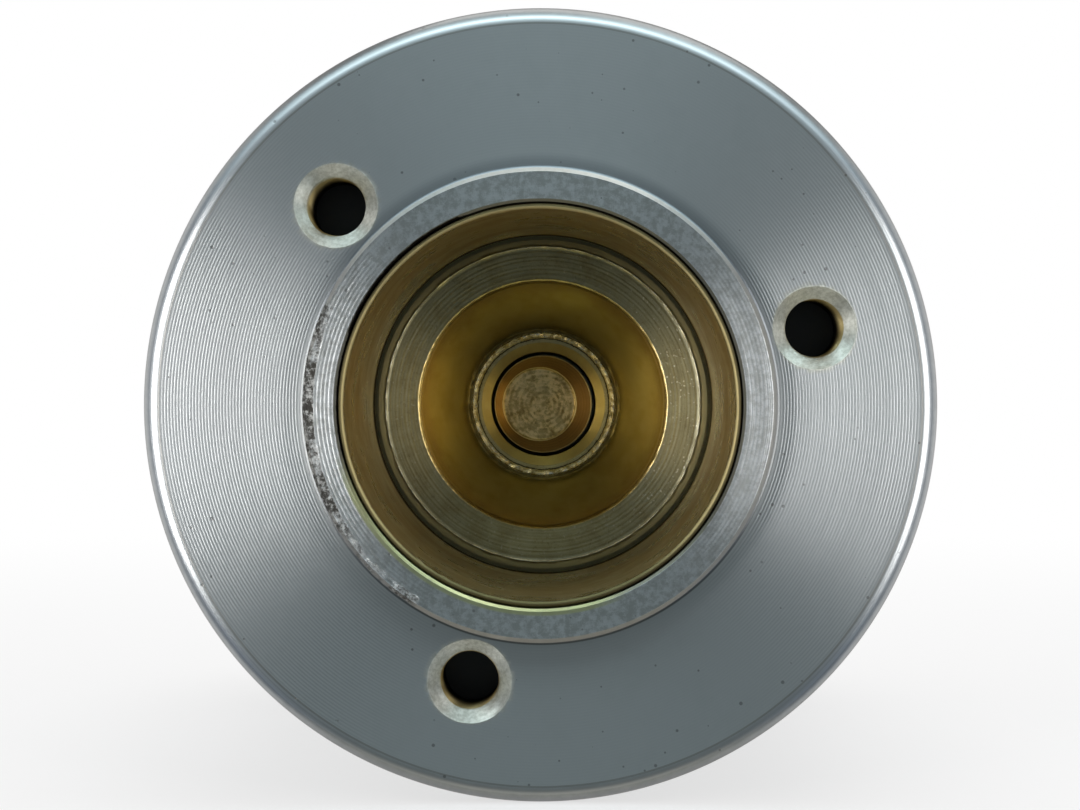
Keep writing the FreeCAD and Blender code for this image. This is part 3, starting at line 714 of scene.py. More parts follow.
def solder_joints():
    """The three beads of solder as one piece."""
    height = 1.6 * MM
    beads = []
    for i, (lead, base) in enumerate({
        "switch_lead": 1.5 * MM,
        "pull_in_lead": 1.6 * MM,
        "ground_lead": 2.2 * MM,
    }.items()):
        low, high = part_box(lead)
        x = (low[0] + high[0]) / 2
        z = (low[2] + high[2]) / 2
        beads.append(solder_bead(x, z, high[1] - height, height, base, 61 + i))
    points = np.concatenate([p.reshape(-1, 3) for p, _ in beads])
    starts = np.cumsum([0] + [p.size // 3 for p, _ in beads[:-1]])
    faces = np.concatenate([f + start for (_, f), start in zip(beads, starts)])
    return piece_mesh("solder_beads", points, faces, 50)


def broken_edges(node, width):
    """Gives a piece's sharp edges a small round.

    Triangles in one plane are joined first, so that only real edges are left.
    """
    piece = frame["nodes"][node]
    weld = piece.modifiers.new("weld", "WELD")
    weld.merge_threshold = ONE_CORNER
    flat = piece.modifiers.new("flat", "DECIMATE")
    flat.decimate_type = "DISSOLVE"
    flat.angle_limit = math.radians(0.4)
    edge = piece.modifiers.new("edge", "BEVEL")
    edge.width = width
    edge.segments = 2
    edge.limit_method = "ANGLE"
    edge.angle_limit = math.radians(35)
    edge.harden_normals = True
    edge.use_clamp_overlap = True


# Building blocks of the finishes

def add(tree, kind, inputs=None, **settings):
    """New node in a tree. An input is a socket to link, or a value."""
    made = tree.nodes.new(kind)
    for key, value in settings.items():
        setattr(made, key, value)
    for key, value in (inputs or {}).items():
        if isinstance(value, bpy.types.NodeSocket):
            tree.links.new(value, made.inputs[key])
        else:
            made.inputs[key].default_value = value
    return made


def from_sockets(kind, inputs, **settings):
    """New node in the tree of the sockets among its inputs."""
    tree = next(value.id_data for value in inputs.values() if isinstance(value, bpy.types.NodeSocket))
    return add(tree, kind, inputs, **settings)


def calc(operation, a, b=0.0, c=0.0):
    """Result of a sum on one, two or three numbers."""
    return from_sockets("ShaderNodeMath", {0: a, 1: b, 2: c}, operation=operation).outputs[0]


def times(product, *factors):
    """Product of two or more numbers."""
    for factor in factors:
        product = calc("MULTIPLY", product, factor)
    return product


def larger(a, b):
    """The larger of two numbers."""
    return calc("MAXIMUM", a, b)


def scaled(value, factor, added):
    """A number times a factor, and another number added."""
    return calc("MULTIPLY_ADD", value, factor, added)


def spread(value, low, high, to_low=0.0, to_high=1.0):
    """Value moved from one range to another along an S-shaped step, and held at its ends."""
    inputs = {"Value": value, "From Min": low, "From Max": high, "To Min": to_low, "To Max": to_high}
    return from_sockets("ShaderNodeMapRange", inputs, interpolation_type="SMOOTHSTEP").outputs["Result"]


def between(factor, first, second, blend="MIX"):
    """Colour between two colours, or with MULTIPLY the first one tinted by the second."""
    inputs = {0: factor, 6: first, 7: second}
    return from_sockets("ShaderNodeMix", inputs, data_type="RGBA", blend_type=blend).outputs[2]


def stored(near, name):
    """The number that was stored for each point under a name, for the tree of the socket near."""
    return add(near.id_data, "ShaderNodeAttribute", attribute_name=name).outputs["Fac"]


def own_place(tree):
    """Place of a point in its object's own frame."""
    return add(tree, "ShaderNodeTexCoord").outputs["Object"]


def split(vector):
    """X, Y and Z of a vector."""
    return from_sockets("ShaderNodeSeparateXYZ", {0: vector}).outputs


def give(node, inputs):
    """Links results to the inputs of a node that is there already."""
    for key, value in inputs.items():
        node.id_data.links.new(value, node.inputs[key])


def noise(vector, scale, detail=3.0, roughness=0.55):
    """Cloudy noise from 0 to 1."""
    inputs = {"Vector": vector, "Scale": scale, "Detail": detail, "Roughness": roughness}
    return from_sockets("ShaderNodeTexNoise", inputs).outputs["Fac"]


def grey(level):
    """Colour of one level."""
    return (level, level, level, 1.0)


def group(name, inputs, outputs):
    """Empty node group with named inputs and outputs, and its two end nodes."""
    tree = bpy.data.node_groups.new(name, "ShaderNodeTree")
    for socket, (kind, value) in inputs.items():
        made = tree.interface.new_socket(name=socket, in_out="INPUT", socket_type=kind)
        if value is not None:
            made.default_value = value
    for socket, kind in outputs.items():
        tree.interface.new_socket(name=socket, in_out="OUTPUT", socket_type=kind)
    return tree, add(tree, "NodeGroupInput"), add(tree, "NodeGroupOutput")


def place_group():
    """Where a point lies on a turned piece: distance from the axis, angle round it, length along its section.

    The length is the radius plus a share of Y, so it grows across flats, along walls and over cones alike.
    """
    tree, _, end = group("turned_place", {}, {
        "Radius": "NodeSocketFloat",
        "Angle": "NodeSocketFloat",
        "Along": "NodeSocketFloat",
        "Height": "NodeSocketFloat",
        "Object": "NodeSocketVector",
    })
    own = own_place(tree)
    x, y, z = split(own)
    radius = calc("SQRT", calc("ADD", times(x, x), times(z, z)))
    give(end, {
        "Radius": radius,
        "Angle": calc("ARCTAN2", z, x),
        "Along": scaled(y, 0.63, radius),
        "Height": y,
        "Object": own,
    })
    return tree


def marks_group():
    """Tool marks on a turned surface.

    Lines is a one-way noise of the length along the section, broken up by noise over the surface. Height is
    the same for bump, with the torn grain added.
    """
    tree, start, end = group("tool_marks", {
        "Along": ("NodeSocketFloat", 0.0),
        "Vector": ("NodeSocketVector", None),
        "Pitch": ("NodeSocketFloat", 0.26 * MM),
        "Breaks": ("NodeSocketFloat", 0.5),
    }, {
        "Lines": "NodeSocketFloat",
        "Height": "NodeSocketFloat",
    })
    given = start.outputs
    along = calc("DIVIDE", given["Along"], given["Pitch"])
    pushed = scaled(noise(given["Vector"], 260.0, 2.0), 0.3, along)
    wave = calc("SINE", times(pushed, TAU))
    inputs = {"W": times(along, 2.3), "Scale": 1.0, "Detail": 2.0, "Roughness": 0.7}
    lines = add(tree, "ShaderNodeTexNoise", inputs, noise_dimensions="1D").outputs["Fac"]
    torn = noise(given["Vector"], 2600.0, 2.0, 0.6)
    broken = times(given["Breaks"], spread(torn, 0.38, 0.62))
    mixed = calc("SUBTRACT", scaled(wave, 0.22, lines), 0.5)
    swing = times(mixed, calc("SUBTRACT", 1.0, broken))
    give(end, {"Lines": calc("ADD", swing, 0.5), "Height": scaled(torn, 0.25, swing)})
    return tree


def stain_group():
    """Uneven colour: two colours mixed by large soft noise, with a roughness to match."""
    tree, start, end = group("stains", {
        "Vector": ("NodeSocketVector", None),
        "Clean": ("NodeSocketColor", grey(0.5)),
        "Stained": ("NodeSocketColor", grey(0.2)),
        "Size": ("NodeSocketFloat", 4 * MM),
        "Amount": ("NodeSocketFloat", 0.5),
        "Smooth": ("NodeSocketFloat", 0.3),
        "Rough": ("NodeSocketFloat", 0.5),
    }, {
        "Color": "NodeSocketColor",
        "Roughness": "NodeSocketFloat",
    })
    given = start.outputs
    clouds = noise(given["Vector"], calc("DIVIDE", 1.0, given["Size"]), 6.0, 0.62)
    low = calc("SUBTRACT", 1.0, given["Amount"])
    mask = spread(clouds, times(low, 0.8), scaled(low, 0.8, 0.3))
    rough = from_sockets("ShaderNodeMapRange", {
        "Value": mask, "To Min": given["Smooth"], "To Max": given["Rough"],
    })
    give(end, {
        "Color": between(mask, given["Clean"], given["Stained"]),
        "Roughness": rough.outputs["Result"],
    })
    return tree


turned_place = place_group()
tool_marks = marks_group()
stains = stain_group()


def use(tree, node_group, inputs=None):
    """Outputs of a node group placed in a tree."""
    return add(tree, "ShaderNodeGroup", inputs, node_tree=node_group).outputs


def stained(own, clean, dirty, size, amount, smooth, rough):
    """Uneven colour and roughness: the outputs of the group of stains with these values."""
    return use(own.id_data, stains, {
        "Vector": own, "Clean": clean, "Stained": dirty,
        "Size": size, "Amount": amount, "Smooth": smooth, "Rough": rough,
    })


def fresh_tree(owner):
    """Empty node tree of a new material or world."""
    owner.use_nodes = True
    owner.node_tree.nodes.clear()
    return owner.node_tree


def finish(name, **plain):
    """New material with one surface shader, whose plain values are set on its own sockets."""
    material = bpy.data.materials.new(name)
    tree = fresh_tree(material)
    surface = add(tree, "ShaderNodeBsdfPrincipled")
    for key, value in plain.items():
        surface.inputs[key.replace("_", " ")].default_value = value
    add(tree, "ShaderNodeOutputMaterial", {"Surface": surface.outputs[0]})
    return material, tree, surface


def turned_finish(name, uneven_gloss, pitch, breaks):
    """New material of a turned piece, and the place and tool marks of its points.

    Its gloss spreads across the turning marks, which run in rings round the Y axis.
    """
    material, tree, surface = finish(name, Metallic=1.0, Anisotropic=uneven_gloss, Anisotropic_Rotation=0.25)
    rings = add(tree, "ShaderNodeTangent", direction_type="RADIAL", axis="Y")
    give(surface, {"Tangent": rings.outputs[0]})
    place = use(tree, turned_place)
    marks = use(tree, tool_marks, {
        "Along": place["Along"], "Vector": place["Object"], "Pitch": pitch, "Breaks": breaks,
    })
    return material, surface, place, marks


def ring_zone(radius, low, high, soft):
    """1 between two radii, falling to 0 over soft outside them."""
    return times(spread(radius, low - soft, low), spread(radius, high + soft, high))


def bump(height, distance):
    """Bump from a height of about 0 to 1, distance metres deep."""
    inputs = {"Height": height, "Distance": distance, "Strength": 1.0}
    return from_sockets("ShaderNodeBump", inputs).outputs[0]


# Finishes

def face_lines(place, marks):
    """Grooves of the can's face and collar, in step with those in the mesh, and the marks on its wall."""
    height = place["Height"]
    pitch = spread(height, -0.1 * MM, -0.6 * MM, FACE_GROOVE, COLLAR_RIDGE)
    wave = calc("SINE", times(calc("DIVIDE", place["Radius"], pitch), TAU))
    uneven = noise(place["Object"], 1400.0, 3.0, 0.6)
    groove = spread(scaled(uneven, 1.3, wave), -0.1, 1.3)
    smooth_ring = ring_zone(place["Radius"], COLLAR_R, COLLAR_R + 0.5 * MM, 0.1 * MM)
    groove = larger(groove, times(smooth_ring, 0.6))
    in_front = spread(height, 0.12 * MM, 0.04 * MM)
    behind = spread(marks["Lines"], 0.25, 0.75, 0.3, 1.0)
    return from_sockets("ShaderNodeMix", {0: in_front, 2: behind, 3: groove}).outputs[0]


def steel_pits(own):
    """1 in the can's small pits, which lie in clusters."""
    spots = from_sockets("ShaderNodeTexVoronoi", {"Vector": own, "Scale": 1300.0})
    rare = from_sockets("ShaderNodeSeparateColor", {0: spots.outputs["Color"]}).outputs[0]
    clustered = calc("ADD", noise(own, 220.0, 2.0), 0.35)
    size = spread(times(rare, clustered), 0.42, 1.0, 0.0, 0.22)
    away = calc("DIVIDE", spots.outputs["Distance"], calc("ADD", size, 0.0001))
    return spread(away, 1.0, 0.6)


def rim_tones(place, colour):
    """The can's colour with its rim: painted shade over its round, heavier at the top, and a brown line
    where the face ends.
    """
    height = place["Height"]
    up_to_wall = spread(height, 3.0 * MM, 1.6 * MM)
    # Painted shade: the rim's round and the start of the wall darker.
    rim = times(spread(height, 0.08 * MM, 0.2 * MM, 0.0, 0.62), up_to_wall)
    tone = between(spread(height, 0.5 * MM, 1.2 * MM), (0.27, 0.29, 0.30, 1), (0.32, 0.28, 0.24, 1))
    grain = spread(noise(place["Object"], 1100.0, 4.0, 0.7), 0.35, 0.65, 0.8, 1.0)
    colour = between(times(rim, grain), colour, tone)
    # Painted shade, heavier towards the top of the rim's round.
    rounded = times(spread(height, 0.04 * MM, 0.14 * MM), up_to_wall)
    upward = spread(split(place["Object"])["Z"], 13 * MM, 25 * MM, 0.0, 0.6)
    colour = between(times(rounded, upward), colour, (0.15, 0.145, 0.135, 1))
    flat_end = BODY_R - RIM_ROUND
    brown_line = times(
        ring_zone(place["Radius"], flat_end - 0.06 * MM, flat_end + 0.02 * MM, 0.05 * MM),
        spread(height, 1.0 * MM, 0.6 * MM, 0.0, 0.4))
    return between(brown_line, colour, (0.20, 0.16, 0.11, 1))


def collar_tones(place, colour):
    """The can's colour with its collar: painted shade on its chamfered edge, side and foot, on the bore's
    chamfer and in the gap round the tube.
    """
    radius = place["Radius"]
    height = place["Height"]
    # Painted shade dims the collar's chamfered outer edge.
    broken = times(
        ring_zone(radius, COLLAR_R - COLLAR_CHAMFER + 0.02 * MM, COLLAR_R + 0.02 * MM, 0.03 * MM),
        spread(height, COLLAR_Y + 0.5 * MM, COLLAR_Y + 0.4 * MM, 0.0, 0.85))
    colour = between(broken, colour, (0.39, 0.37, 0.33, 1))
    # Painted shade on the collar's side and fillet.
    side = times(
        spread(height, COLLAR_Y + 0.3 * MM, COLLAR_Y + 0.5 * MM), 0.8,
        ring_zone(radius, COLLAR_R - 0.1 * MM, COLLAR_R + 0.3 * MM, 0.1 * MM))
    colour = between(side, colour, (0.16, 0.165, 0.16, 1))
    # Painted shade round the collar's foot, over its upper half.
    colour = between(times(stored(radius, "shade"), 0.55), colour, (0.24, 0.26, 0.28, 1))
    # Painted shade on the chamfer of the bore, next to the tube.
    bore_edge = SLEEVE_FIT + COLLAR_BORE_CHAMFER + sleeve_radius()
    at_bore = spread(radius, bore_edge + 0.02 * MM, bore_edge - 0.05 * MM)
    colour = between(at_bore, colour, (0.24, 0.23, 0.18, 1))
    # Painted shade: near-black along the gap round the tube, with a ragged edge.
    crevice_shade = stored(radius, "crevice_shade")
    ragged = scaled(noise(place["Object"], 1300.0, 6.0, 0.8), 0.34 * MM, radius)
    ragged = spread(scaled(crevice_shade, -0.45 * MM, ragged), bore_edge - 0.15 * MM, bore_edge - 0.25 * MM)
    return between(times(spread(crevice_shade, 0.0, 0.3), ragged), colour, (0.012, 0.010, 0.007, 1))


def hole_tones(grain):
    """Colour down a tapped hole: pale countersink, straw-coloured first threads, then painted shade to black.
    """
    depth = stored(grain, "depth")
    pale = between(spread(grain, 0.30, 0.70), (0.50, 0.50, 0.43, 1), (0.74, 0.74, 0.67, 1))
    # Painted shade: the threads go black further down the hole.
    thread = between(spread(depth, 0.35, 0.8), (0.50, 0.40, 0.19, 1), (0.02, 0.018, 0.014, 1))
    return between(spread(depth, 0.11, 0.17), pale, thread)


def turned_steel():
    """Bright turned steel of the can: grooved face, bruised collar with a painted reflection of the brass,
    pale rough countersinks.
    """
    material, surface, place, marks = turned_finish("turned_steel_finish", 0.75, FACE_GROOVE, 0.5)
    own = place["Object"]
    base = stained(own, (0.74, 0.745, 0.73, 1), (0.69, 0.70, 0.685, 1), 7 * MM, 0.45, 0.29, 0.31)
    line = face_lines(place, marks)
    cut = stored(own, "cut")
    lines = between(line, (0.80, 0.81, 0.82, 1), (1, 1, 1, 1))
    lines = between(cut, (0.93, 0.93, 0.94, 1), lines)
    colour = between(1.0, base["Color"], lines, "MULTIPLY")
    pit = steel_pits(own)
    colour = between(times(pit, 0.62), colour, (0.16, 0.15, 0.14, 1))
    colour = rim_tones(place, colour)
    on_collar = spread(place["Height"], COLLAR_Y + 0.4 * MM, COLLAR_Y + 0.3 * MM)
    etched = noise(own, 1900.0, 6.0, 0.78)
    worn = spread(etched, 0.40, 0.60, 0.0, 0.6)
    colour = between(times(worn, on_collar), colour, (0.36, 0.36, 0.33, 1))
    colour = collar_tones(place, colour)
    hole = stored(own, "hole")
    grain = noise(own, 3000.0, 4.0, 0.7)
    colour = between(hole, colour, hole_tones(grain))
    dirt = noise(own, 900.0, 6.0, 0.72)
    ragged = spread(times(stored(own, "bruise"), calc("ADD", dirt, 0.12)), 0.40, 0.62)
    glints = spread(noise(own, 3000.0, 3.0, 0.65), 0.46, 0.68)
    grime = between(glints, (0.065, 0.06, 0.052, 1), (0.50, 0.49, 0.46, 1))
    colour = between(ragged, colour, grime)
    # Painted reflection of the brass tube, yellow-green, on the collar at the lower left.
    brass_reflection = times(stored(own, "brass_reflection"), spread(dirt, 0.2, 0.45), 0.9)
    colour = between(brass_reflection, colour, (0.62, 0.62, 0.32, 1))
    rough = scaled(ragged, 0.25, base["Roughness"])
    relief = times(line, times(cut, 0.35))
    relief = scaled(times(hole, 0.3), grain, relief)
    relief = scaled(times(etched, on_collar), 1.3, relief)
    relief = scaled(ragged, times(grain, 3.0), relief)
    relief = scaled(pit, -0.4, relief)
    give(surface, {
        "Base Color": colour,
        "Roughness": larger(rough, times(hole, 0.44)),
        "Metallic": scaled(hole, -0.12, 1.0),
        "Normal": bump(relief, 0.012 * MM),
    })
    return material


def sleeve_brass():
    """Drawn brass of the guide tube: brown where it has tarnished, bright where the plunger has worn it.
    Its lip is darker, with painted shade on its lower side and outer edge, and painted shade darkens the
    bore next to the core.
    """
    material, surface, place, marks = turned_finish("tube_brass", 0.5, 0.8 * MM, 0.3)
    own = place["Object"]
    radius = place["Radius"]
    base = stained(own, (0.69, 0.58, 0.31, 1), (0.50, 0.365, 0.155, 1), 6 * MM, 0.55, 0.26, 0.36)
    lines = between(spread(marks["Lines"], 0.3, 0.7), (0.84, 0.82, 0.78, 1), (1, 1, 1, 1))
    colour = between(1.0, base["Color"], lines, "MULTIPLY")
    # Painted shade on the lip: darker towards the bottom, darker on its outer shoulder and near-black at its
    # outer edge.
    upward = spread(split(own)["Z"], -13 * MM, -7 * MM)
    lip_and_shade = between(upward, (0.15, 0.13, 0.06, 1), (0.50, 0.40, 0.19, 1))
    shoulder = spread(radius, BORE_R + 0.17 * MM, BORE_R + 0.27 * MM)
    lip_and_shade = between(shoulder, lip_and_shade, (0.13, 0.105, 0.05, 1))
    outside = spread(radius, BORE_R + 0.37 * MM, BORE_R + 0.41 * MM)
    lip_and_shade = between(outside, lip_and_shade, (0.02, 0.018, 0.012, 1))
    lip = spread(place["Height"], SLEEVE_Y + 0.3 * MM, SLEEVE_Y + 0.1 * MM)
    # Painted shade down the bore's last millimetres before the core.
    shaded = spread(place["Height"], CORE_Y - 3.4 * MM, CORE_Y - 0.9 * MM, 0.0, 0.96)
    colour = between(lip, colour, lip_and_shade)
    rough = larger(times(lip, 0.55), times(shaded, 0.95))
    give(surface, {
        "Base Color": between(shaded, colour, (0.02, 0.015, 0.006, 1)),
        "Roughness": larger(base["Roughness"], rough),
        "Normal": bump(marks["Height"], 0.006 * MM),
    })
    return material


def core_steel():
    """Core: olive-grey turned ring, gold-passivated chamfers and cone, and a bright torn burr. Painted
    highlights lie on the torn chamfer edge, the pocket's sides, the ring's right side and the burr, and
    painted shade by the burr and at its foot.

    The zones are rings of the radius. Where the metal is torn, fine noise pushes their edges in and out.
    """
    material, surface, place, marks = turned_finish("core_finish", 0.6, 0.26 * MM, 0.6)
    own = place["Object"]
    radius = place["Radius"]
    rightward = split(own)["X"]
    torn = noise(own, 2600.0, 3.0, 0.7)
    frayed = scaled(torn, 0.22 * MM, radius)
    face = stained(own, (0.46, 0.43, 0.285, 1), (0.37, 0.34, 0.215, 1), 2 * MM, 0.5, 0.34, 0.44)
    gold = stained(own, (0.76, 0.67, 0.35, 1), (0.68, 0.565, 0.265, 1), 3 * MM, 0.5, 0.20, 0.27)

    ring = ring_zone(radius, RING_INNER, RING_OUTER, 0.03 * MM)
    land = ring_zone(radius, CORE_SINK_R, BURR_R - BURR_SPREAD, 0.04 * MM)
    flat = larger(ring, land)
    colour = between(larger(ring, times(land, 0.6)), gold["Color"], face["Color"])
    chamfer = spread(radius, RING_OUTER, RING_OUTER + 0.05 * MM)
    colour = between(chamfer, colour, (0.95, 0.84, 0.48, 1))
    # Painted highlight: a bright jagged line on the torn edge of the chamfer.
    torn_edge_highlight = ring_zone(frayed, RING_OUTER + 0.06 * MM, RING_OUTER + 0.16 * MM, 0.03 * MM)
    colour = between(torn_edge_highlight, colour, (1.0, 0.95, 0.72, 1))
    # Painted highlight: the pocket's rolled edge is lighter at the left and right than at the top and bottom.
    sideways = spread(calc("ABSOLUTE", rightward), 4 * MM, 9 * MM)
    rolled = between(sideways, (0.40, 0.33, 0.16, 1), (0.82, 0.70, 0.40, 1))
    pocket_edge = ring_zone(radius, RING_INNER - POCKET_CHAMFER, RING_INNER, 0.04 * MM)
    colour = between(pocket_edge, colour, rolled)
    # Painted shade in the hollow of the pocket's floor outside the burr.
    hollow = times(
        spread(radius, BURR_R + 0.04 * MM, BURR_R + 0.14 * MM),
        spread(radius, BURR_R + 1.0 * MM, BURR_R + 0.1 * MM, 0.0, 0.8))
    colour = between(hollow, colour, (0.13, 0.095, 0.032, 1))

    lines = between(spread(marks["Lines"], 0.25, 0.75), grey(0.86), grey(1.0))
    colour = between(flat, colour, lines, "MULTIPLY")
    specks = spread(noise(own, 5200.0, 3.0, 0.7), 0.56, 0.70, 0.0, 0.4)
    colour = between(times(specks, flat), colour, (0.14, 0.12, 0.07, 1))
    # Painted glints on the flat ring and land, most of them on the right.
    glints = times(
        spread(noise(own, 3600.0, 2.0), 0.36, 0.28),
        spread(rightward, 4 * MM, 12 * MM, 0.2, 0.8))
    colour = between(times(glints, flat), colour, (0.95, 0.93, 0.82, 1))

    edge = scaled(torn, 0.36 * MM, radius)
    burr = ring_zone(edge, BURR_R - 0.10 * MM, BURR_R + 0.28 * MM, 0.03 * MM)
    # Bright torn metal on the burr, its near-white flecks painted glints.
    flakes = spread(noise(own, 1700.0, 3.0, 0.7), 0.40, 0.56)
    colour = between(burr, colour, between(flakes, (0.50, 0.44, 0.29, 1), (1.0, 0.99, 0.90, 1)))
    # Painted shade: a dark line along the burr's inner foot.
    foot_r = BURR_R - BURR_SPREAD
    foot = ring_zone(frayed, foot_r + 0.06 * MM, foot_r + 0.14 * MM, 0.03 * MM)

    rough = from_sockets("ShaderNodeMix", {0: flat, 2: gold["Roughness"], 3: face["Roughness"]}).outputs[0]
    near_burr = spread(radius, BURR_R + 0.8 * MM, BURR_R + 0.2 * MM, 0.0, 0.36)
    rough = larger(rough, larger(times(chamfer, 0.4), near_burr))
    relief = times(marks["Height"], scaled(flat, 0.9, 0.1))
    relief = scaled(times(larger(burr, torn_edge_highlight), torn), 3.0, relief)
    relief = scaled(times(noise(own, 5200.0, 2.0), flat), 0.7, relief)
    give(surface, {
        "Base Color": between(foot, colour, (0.10, 0.08, 0.04, 1)),
        "Roughness": calc("SUBTRACT", rough, times(burr, 0.10)),
        "Normal": bump(relief, 0.012 * MM),
    })
    return material


def rod_steel():
    """Rod: tanned steel with faint facing marks on its tip, painted highlights along its edges and a reddish
    chamfer.
    """
    material, surface, place, marks = turned_finish("rod_steel_finish", 0.3, 0.35 * MM, 0.8)
    own = place["Object"]
    height = place["Height"]
    chamfer_end = ROD_Y + ROD_CHAMFER
    tip = stained(own, (0.56, 0.43, 0.215, 1), (0.30, 0.225, 0.10, 1), 0.7 * MM, 0.52, 0.36, 0.5)
    swirl = scaled(noise(own, 420.0, 3.0), 0.5 * MM, place["Radius"])
    swirl = calc("SINE", times(swirl, TAU / (0.45 * MM)))
    blotch = scaled(swirl, 0.035, noise(own, 1300.0, 5.0, 0.75))
    colour = between(spread(blotch, 0.40, 0.60), tip["Color"], (0.90, 0.72, 0.40, 1))
    chamfer = spread(height, ROD_Y + 0.03 * MM, ROD_Y + 0.12 * MM)
    colour = between(chamfer, colour, (0.40, 0.245, 0.105, 1))
    shank = spread(height, chamfer_end + 0.1 * MM, chamfer_end + 0.2 * MM)
    colour = between(shank, colour, (0.88, 0.84, 0.70, 1))
    lines = between(spread(marks["Lines"], 0.25, 0.75), grey(0.82), grey(1.0))
    colour = between(1.0, colour, lines, "MULTIPLY")
    # Painted highlights: bright lines along the chamfer's outer edge and round the tip's edge.
    pushed = scaled(noise(own, 2500.0, 3.0), 0.06 * MM, height)
    outer_edge = ring_zone(pushed, chamfer_end - 0.03 * MM, chamfer_end + 0.1 * MM, 0.03 * MM)
    tip_edge = ring_zone(pushed, ROD_Y + 0.09 * MM, ROD_Y + 0.17 * MM, 0.02 * MM)
    edges = larger(times(outer_edge, 0.6), tip_edge)
    turned_way = from_sockets("ShaderNodeMapping", {
        "Vector": own, "Rotation": (0.0, 0.6, 0.0), "Scale": (1.0, 1.0, 7.0),
    }).outputs[0]
    scratches = noise(turned_way, 700.0, 3.0, 0.6)
    relief = scaled(scratches, 0.8, times(marks["Height"], 0.5))
    give(surface, {
        "Base Color": between(edges, colour, (0.95, 0.82, 0.55, 1)),
        "Roughness": tip["Roughness"],
        "Normal": bump(scaled(blotch, 2.0, relief), 0.008 * MM),
    })
    return material


def stained_finish(name, clean, dirty, size, amount, smooth, rough, grain, depth, **plain):
    """Plain material with uneven colour, and bump from grain(own), depth metres deep."""
    material, tree, surface = finish(name, **plain)
    own = own_place(tree)
    base = stained(own, clean, dirty, size, amount, smooth, rough)
    give(surface, {
        "Base Color": base["Color"],
        "Roughness": base["Roughness"],
        "Normal": bump(grain(own), depth),
    })
    return material


def metal(name, clean, dirty, size, smooth, rough, scale, depth):
    """Metal with a fine grain, for pieces that aren't turned about the solenoid's axis. Lengths in mm."""
    def grain(own):
        return noise(own, scale, 4.0, 0.65)
    return stained_finish(name, clean, dirty, size * MM, 0.5, smooth, rough, grain, depth * MM, Metallic=1.0)


def moulding(name, clean, dusty):
    """Moulded plastic: fine spark-eroded grain, soft shrink waves and a little dust in its colour."""
    def grain(own):
        return scaled(noise(own, 90.0, 1.0), 3.0, noise(own, 2200.0, 3.0, 0.6))
    return stained_finish(name, clean, dusty, 8 * MM, 0.4, 0.36, 0.5, grain, 0.02 * MM, Metallic=0.0, IOR=1.5)


def wound_wire():
    """Enamelled copper wire wound turn beside turn: rounded ridges along Y, with painted shade in the gaps."""
    material, tree, surface = finish("wire_enamel", Metallic=0.9, Coat_Weight=0.6, Coat_Roughness=0.15)
    place = use(tree, turned_place)
    turns = calc("DIVIDE", place["Height"], 0.9 * MM)
    slant = calc("DIVIDE", place["Angle"], TAU)
    phase = calc("FRACT", calc("ADD", turns, slant))
    crown = calc("SINE", times(phase, math.pi))
    patches = noise(place["Object"], 300.0, 3.0)
    copper = between(patches, (0.58, 0.22, 0.08, 1), (0.44, 0.14, 0.05, 1))
    give(surface, {
        # Painted shade: black in the gaps between turns.
        "Base Color": between(spread(crown, 0.0, 0.5), grey(0.02), copper),
        "Roughness": spread(patches, 0.3, 0.7, 0.22, 0.34),
        "Normal": bump(crown, 0.3 * MM),
    })
    return material


def coil_paper():
    """Kraft paper round the windings: fibres and faint wrinkles."""
    material, tree, surface = finish("paper_finish", Metallic=0.0, IOR=1.45)
    long_way = add(tree, "ShaderNodeMapping", {"Vector": own_place(tree), "Scale": (1.0, 6.0, 1.0)})
    fibres = noise(long_way.outputs[0], 900.0, 5.0, 0.7)
    give(surface, {
        "Base Color": between(fibres, (0.36, 0.23, 0.12, 1), (0.55, 0.40, 0.24, 1)),
        "Roughness": spread(fibres, 0.2, 0.8, 0.75, 0.9),
        "Normal": bump(fibres, 0.04 * MM),
    })
    return material


def rubber():
    """Black rubber of the gasket and seals, a little bloomed."""
    def grain(own):
        return noise(own, 1500.0, 3.0)
    return stained_finish(
        "rubber_finish", (0.018, 0.018, 0.019, 1), (0.05, 0.05, 0.052, 1), 3 * MM, 0.4, 0.6, 0.78,
        grain, 0.02 * MM, Metallic=0.0, IOR=1.5)


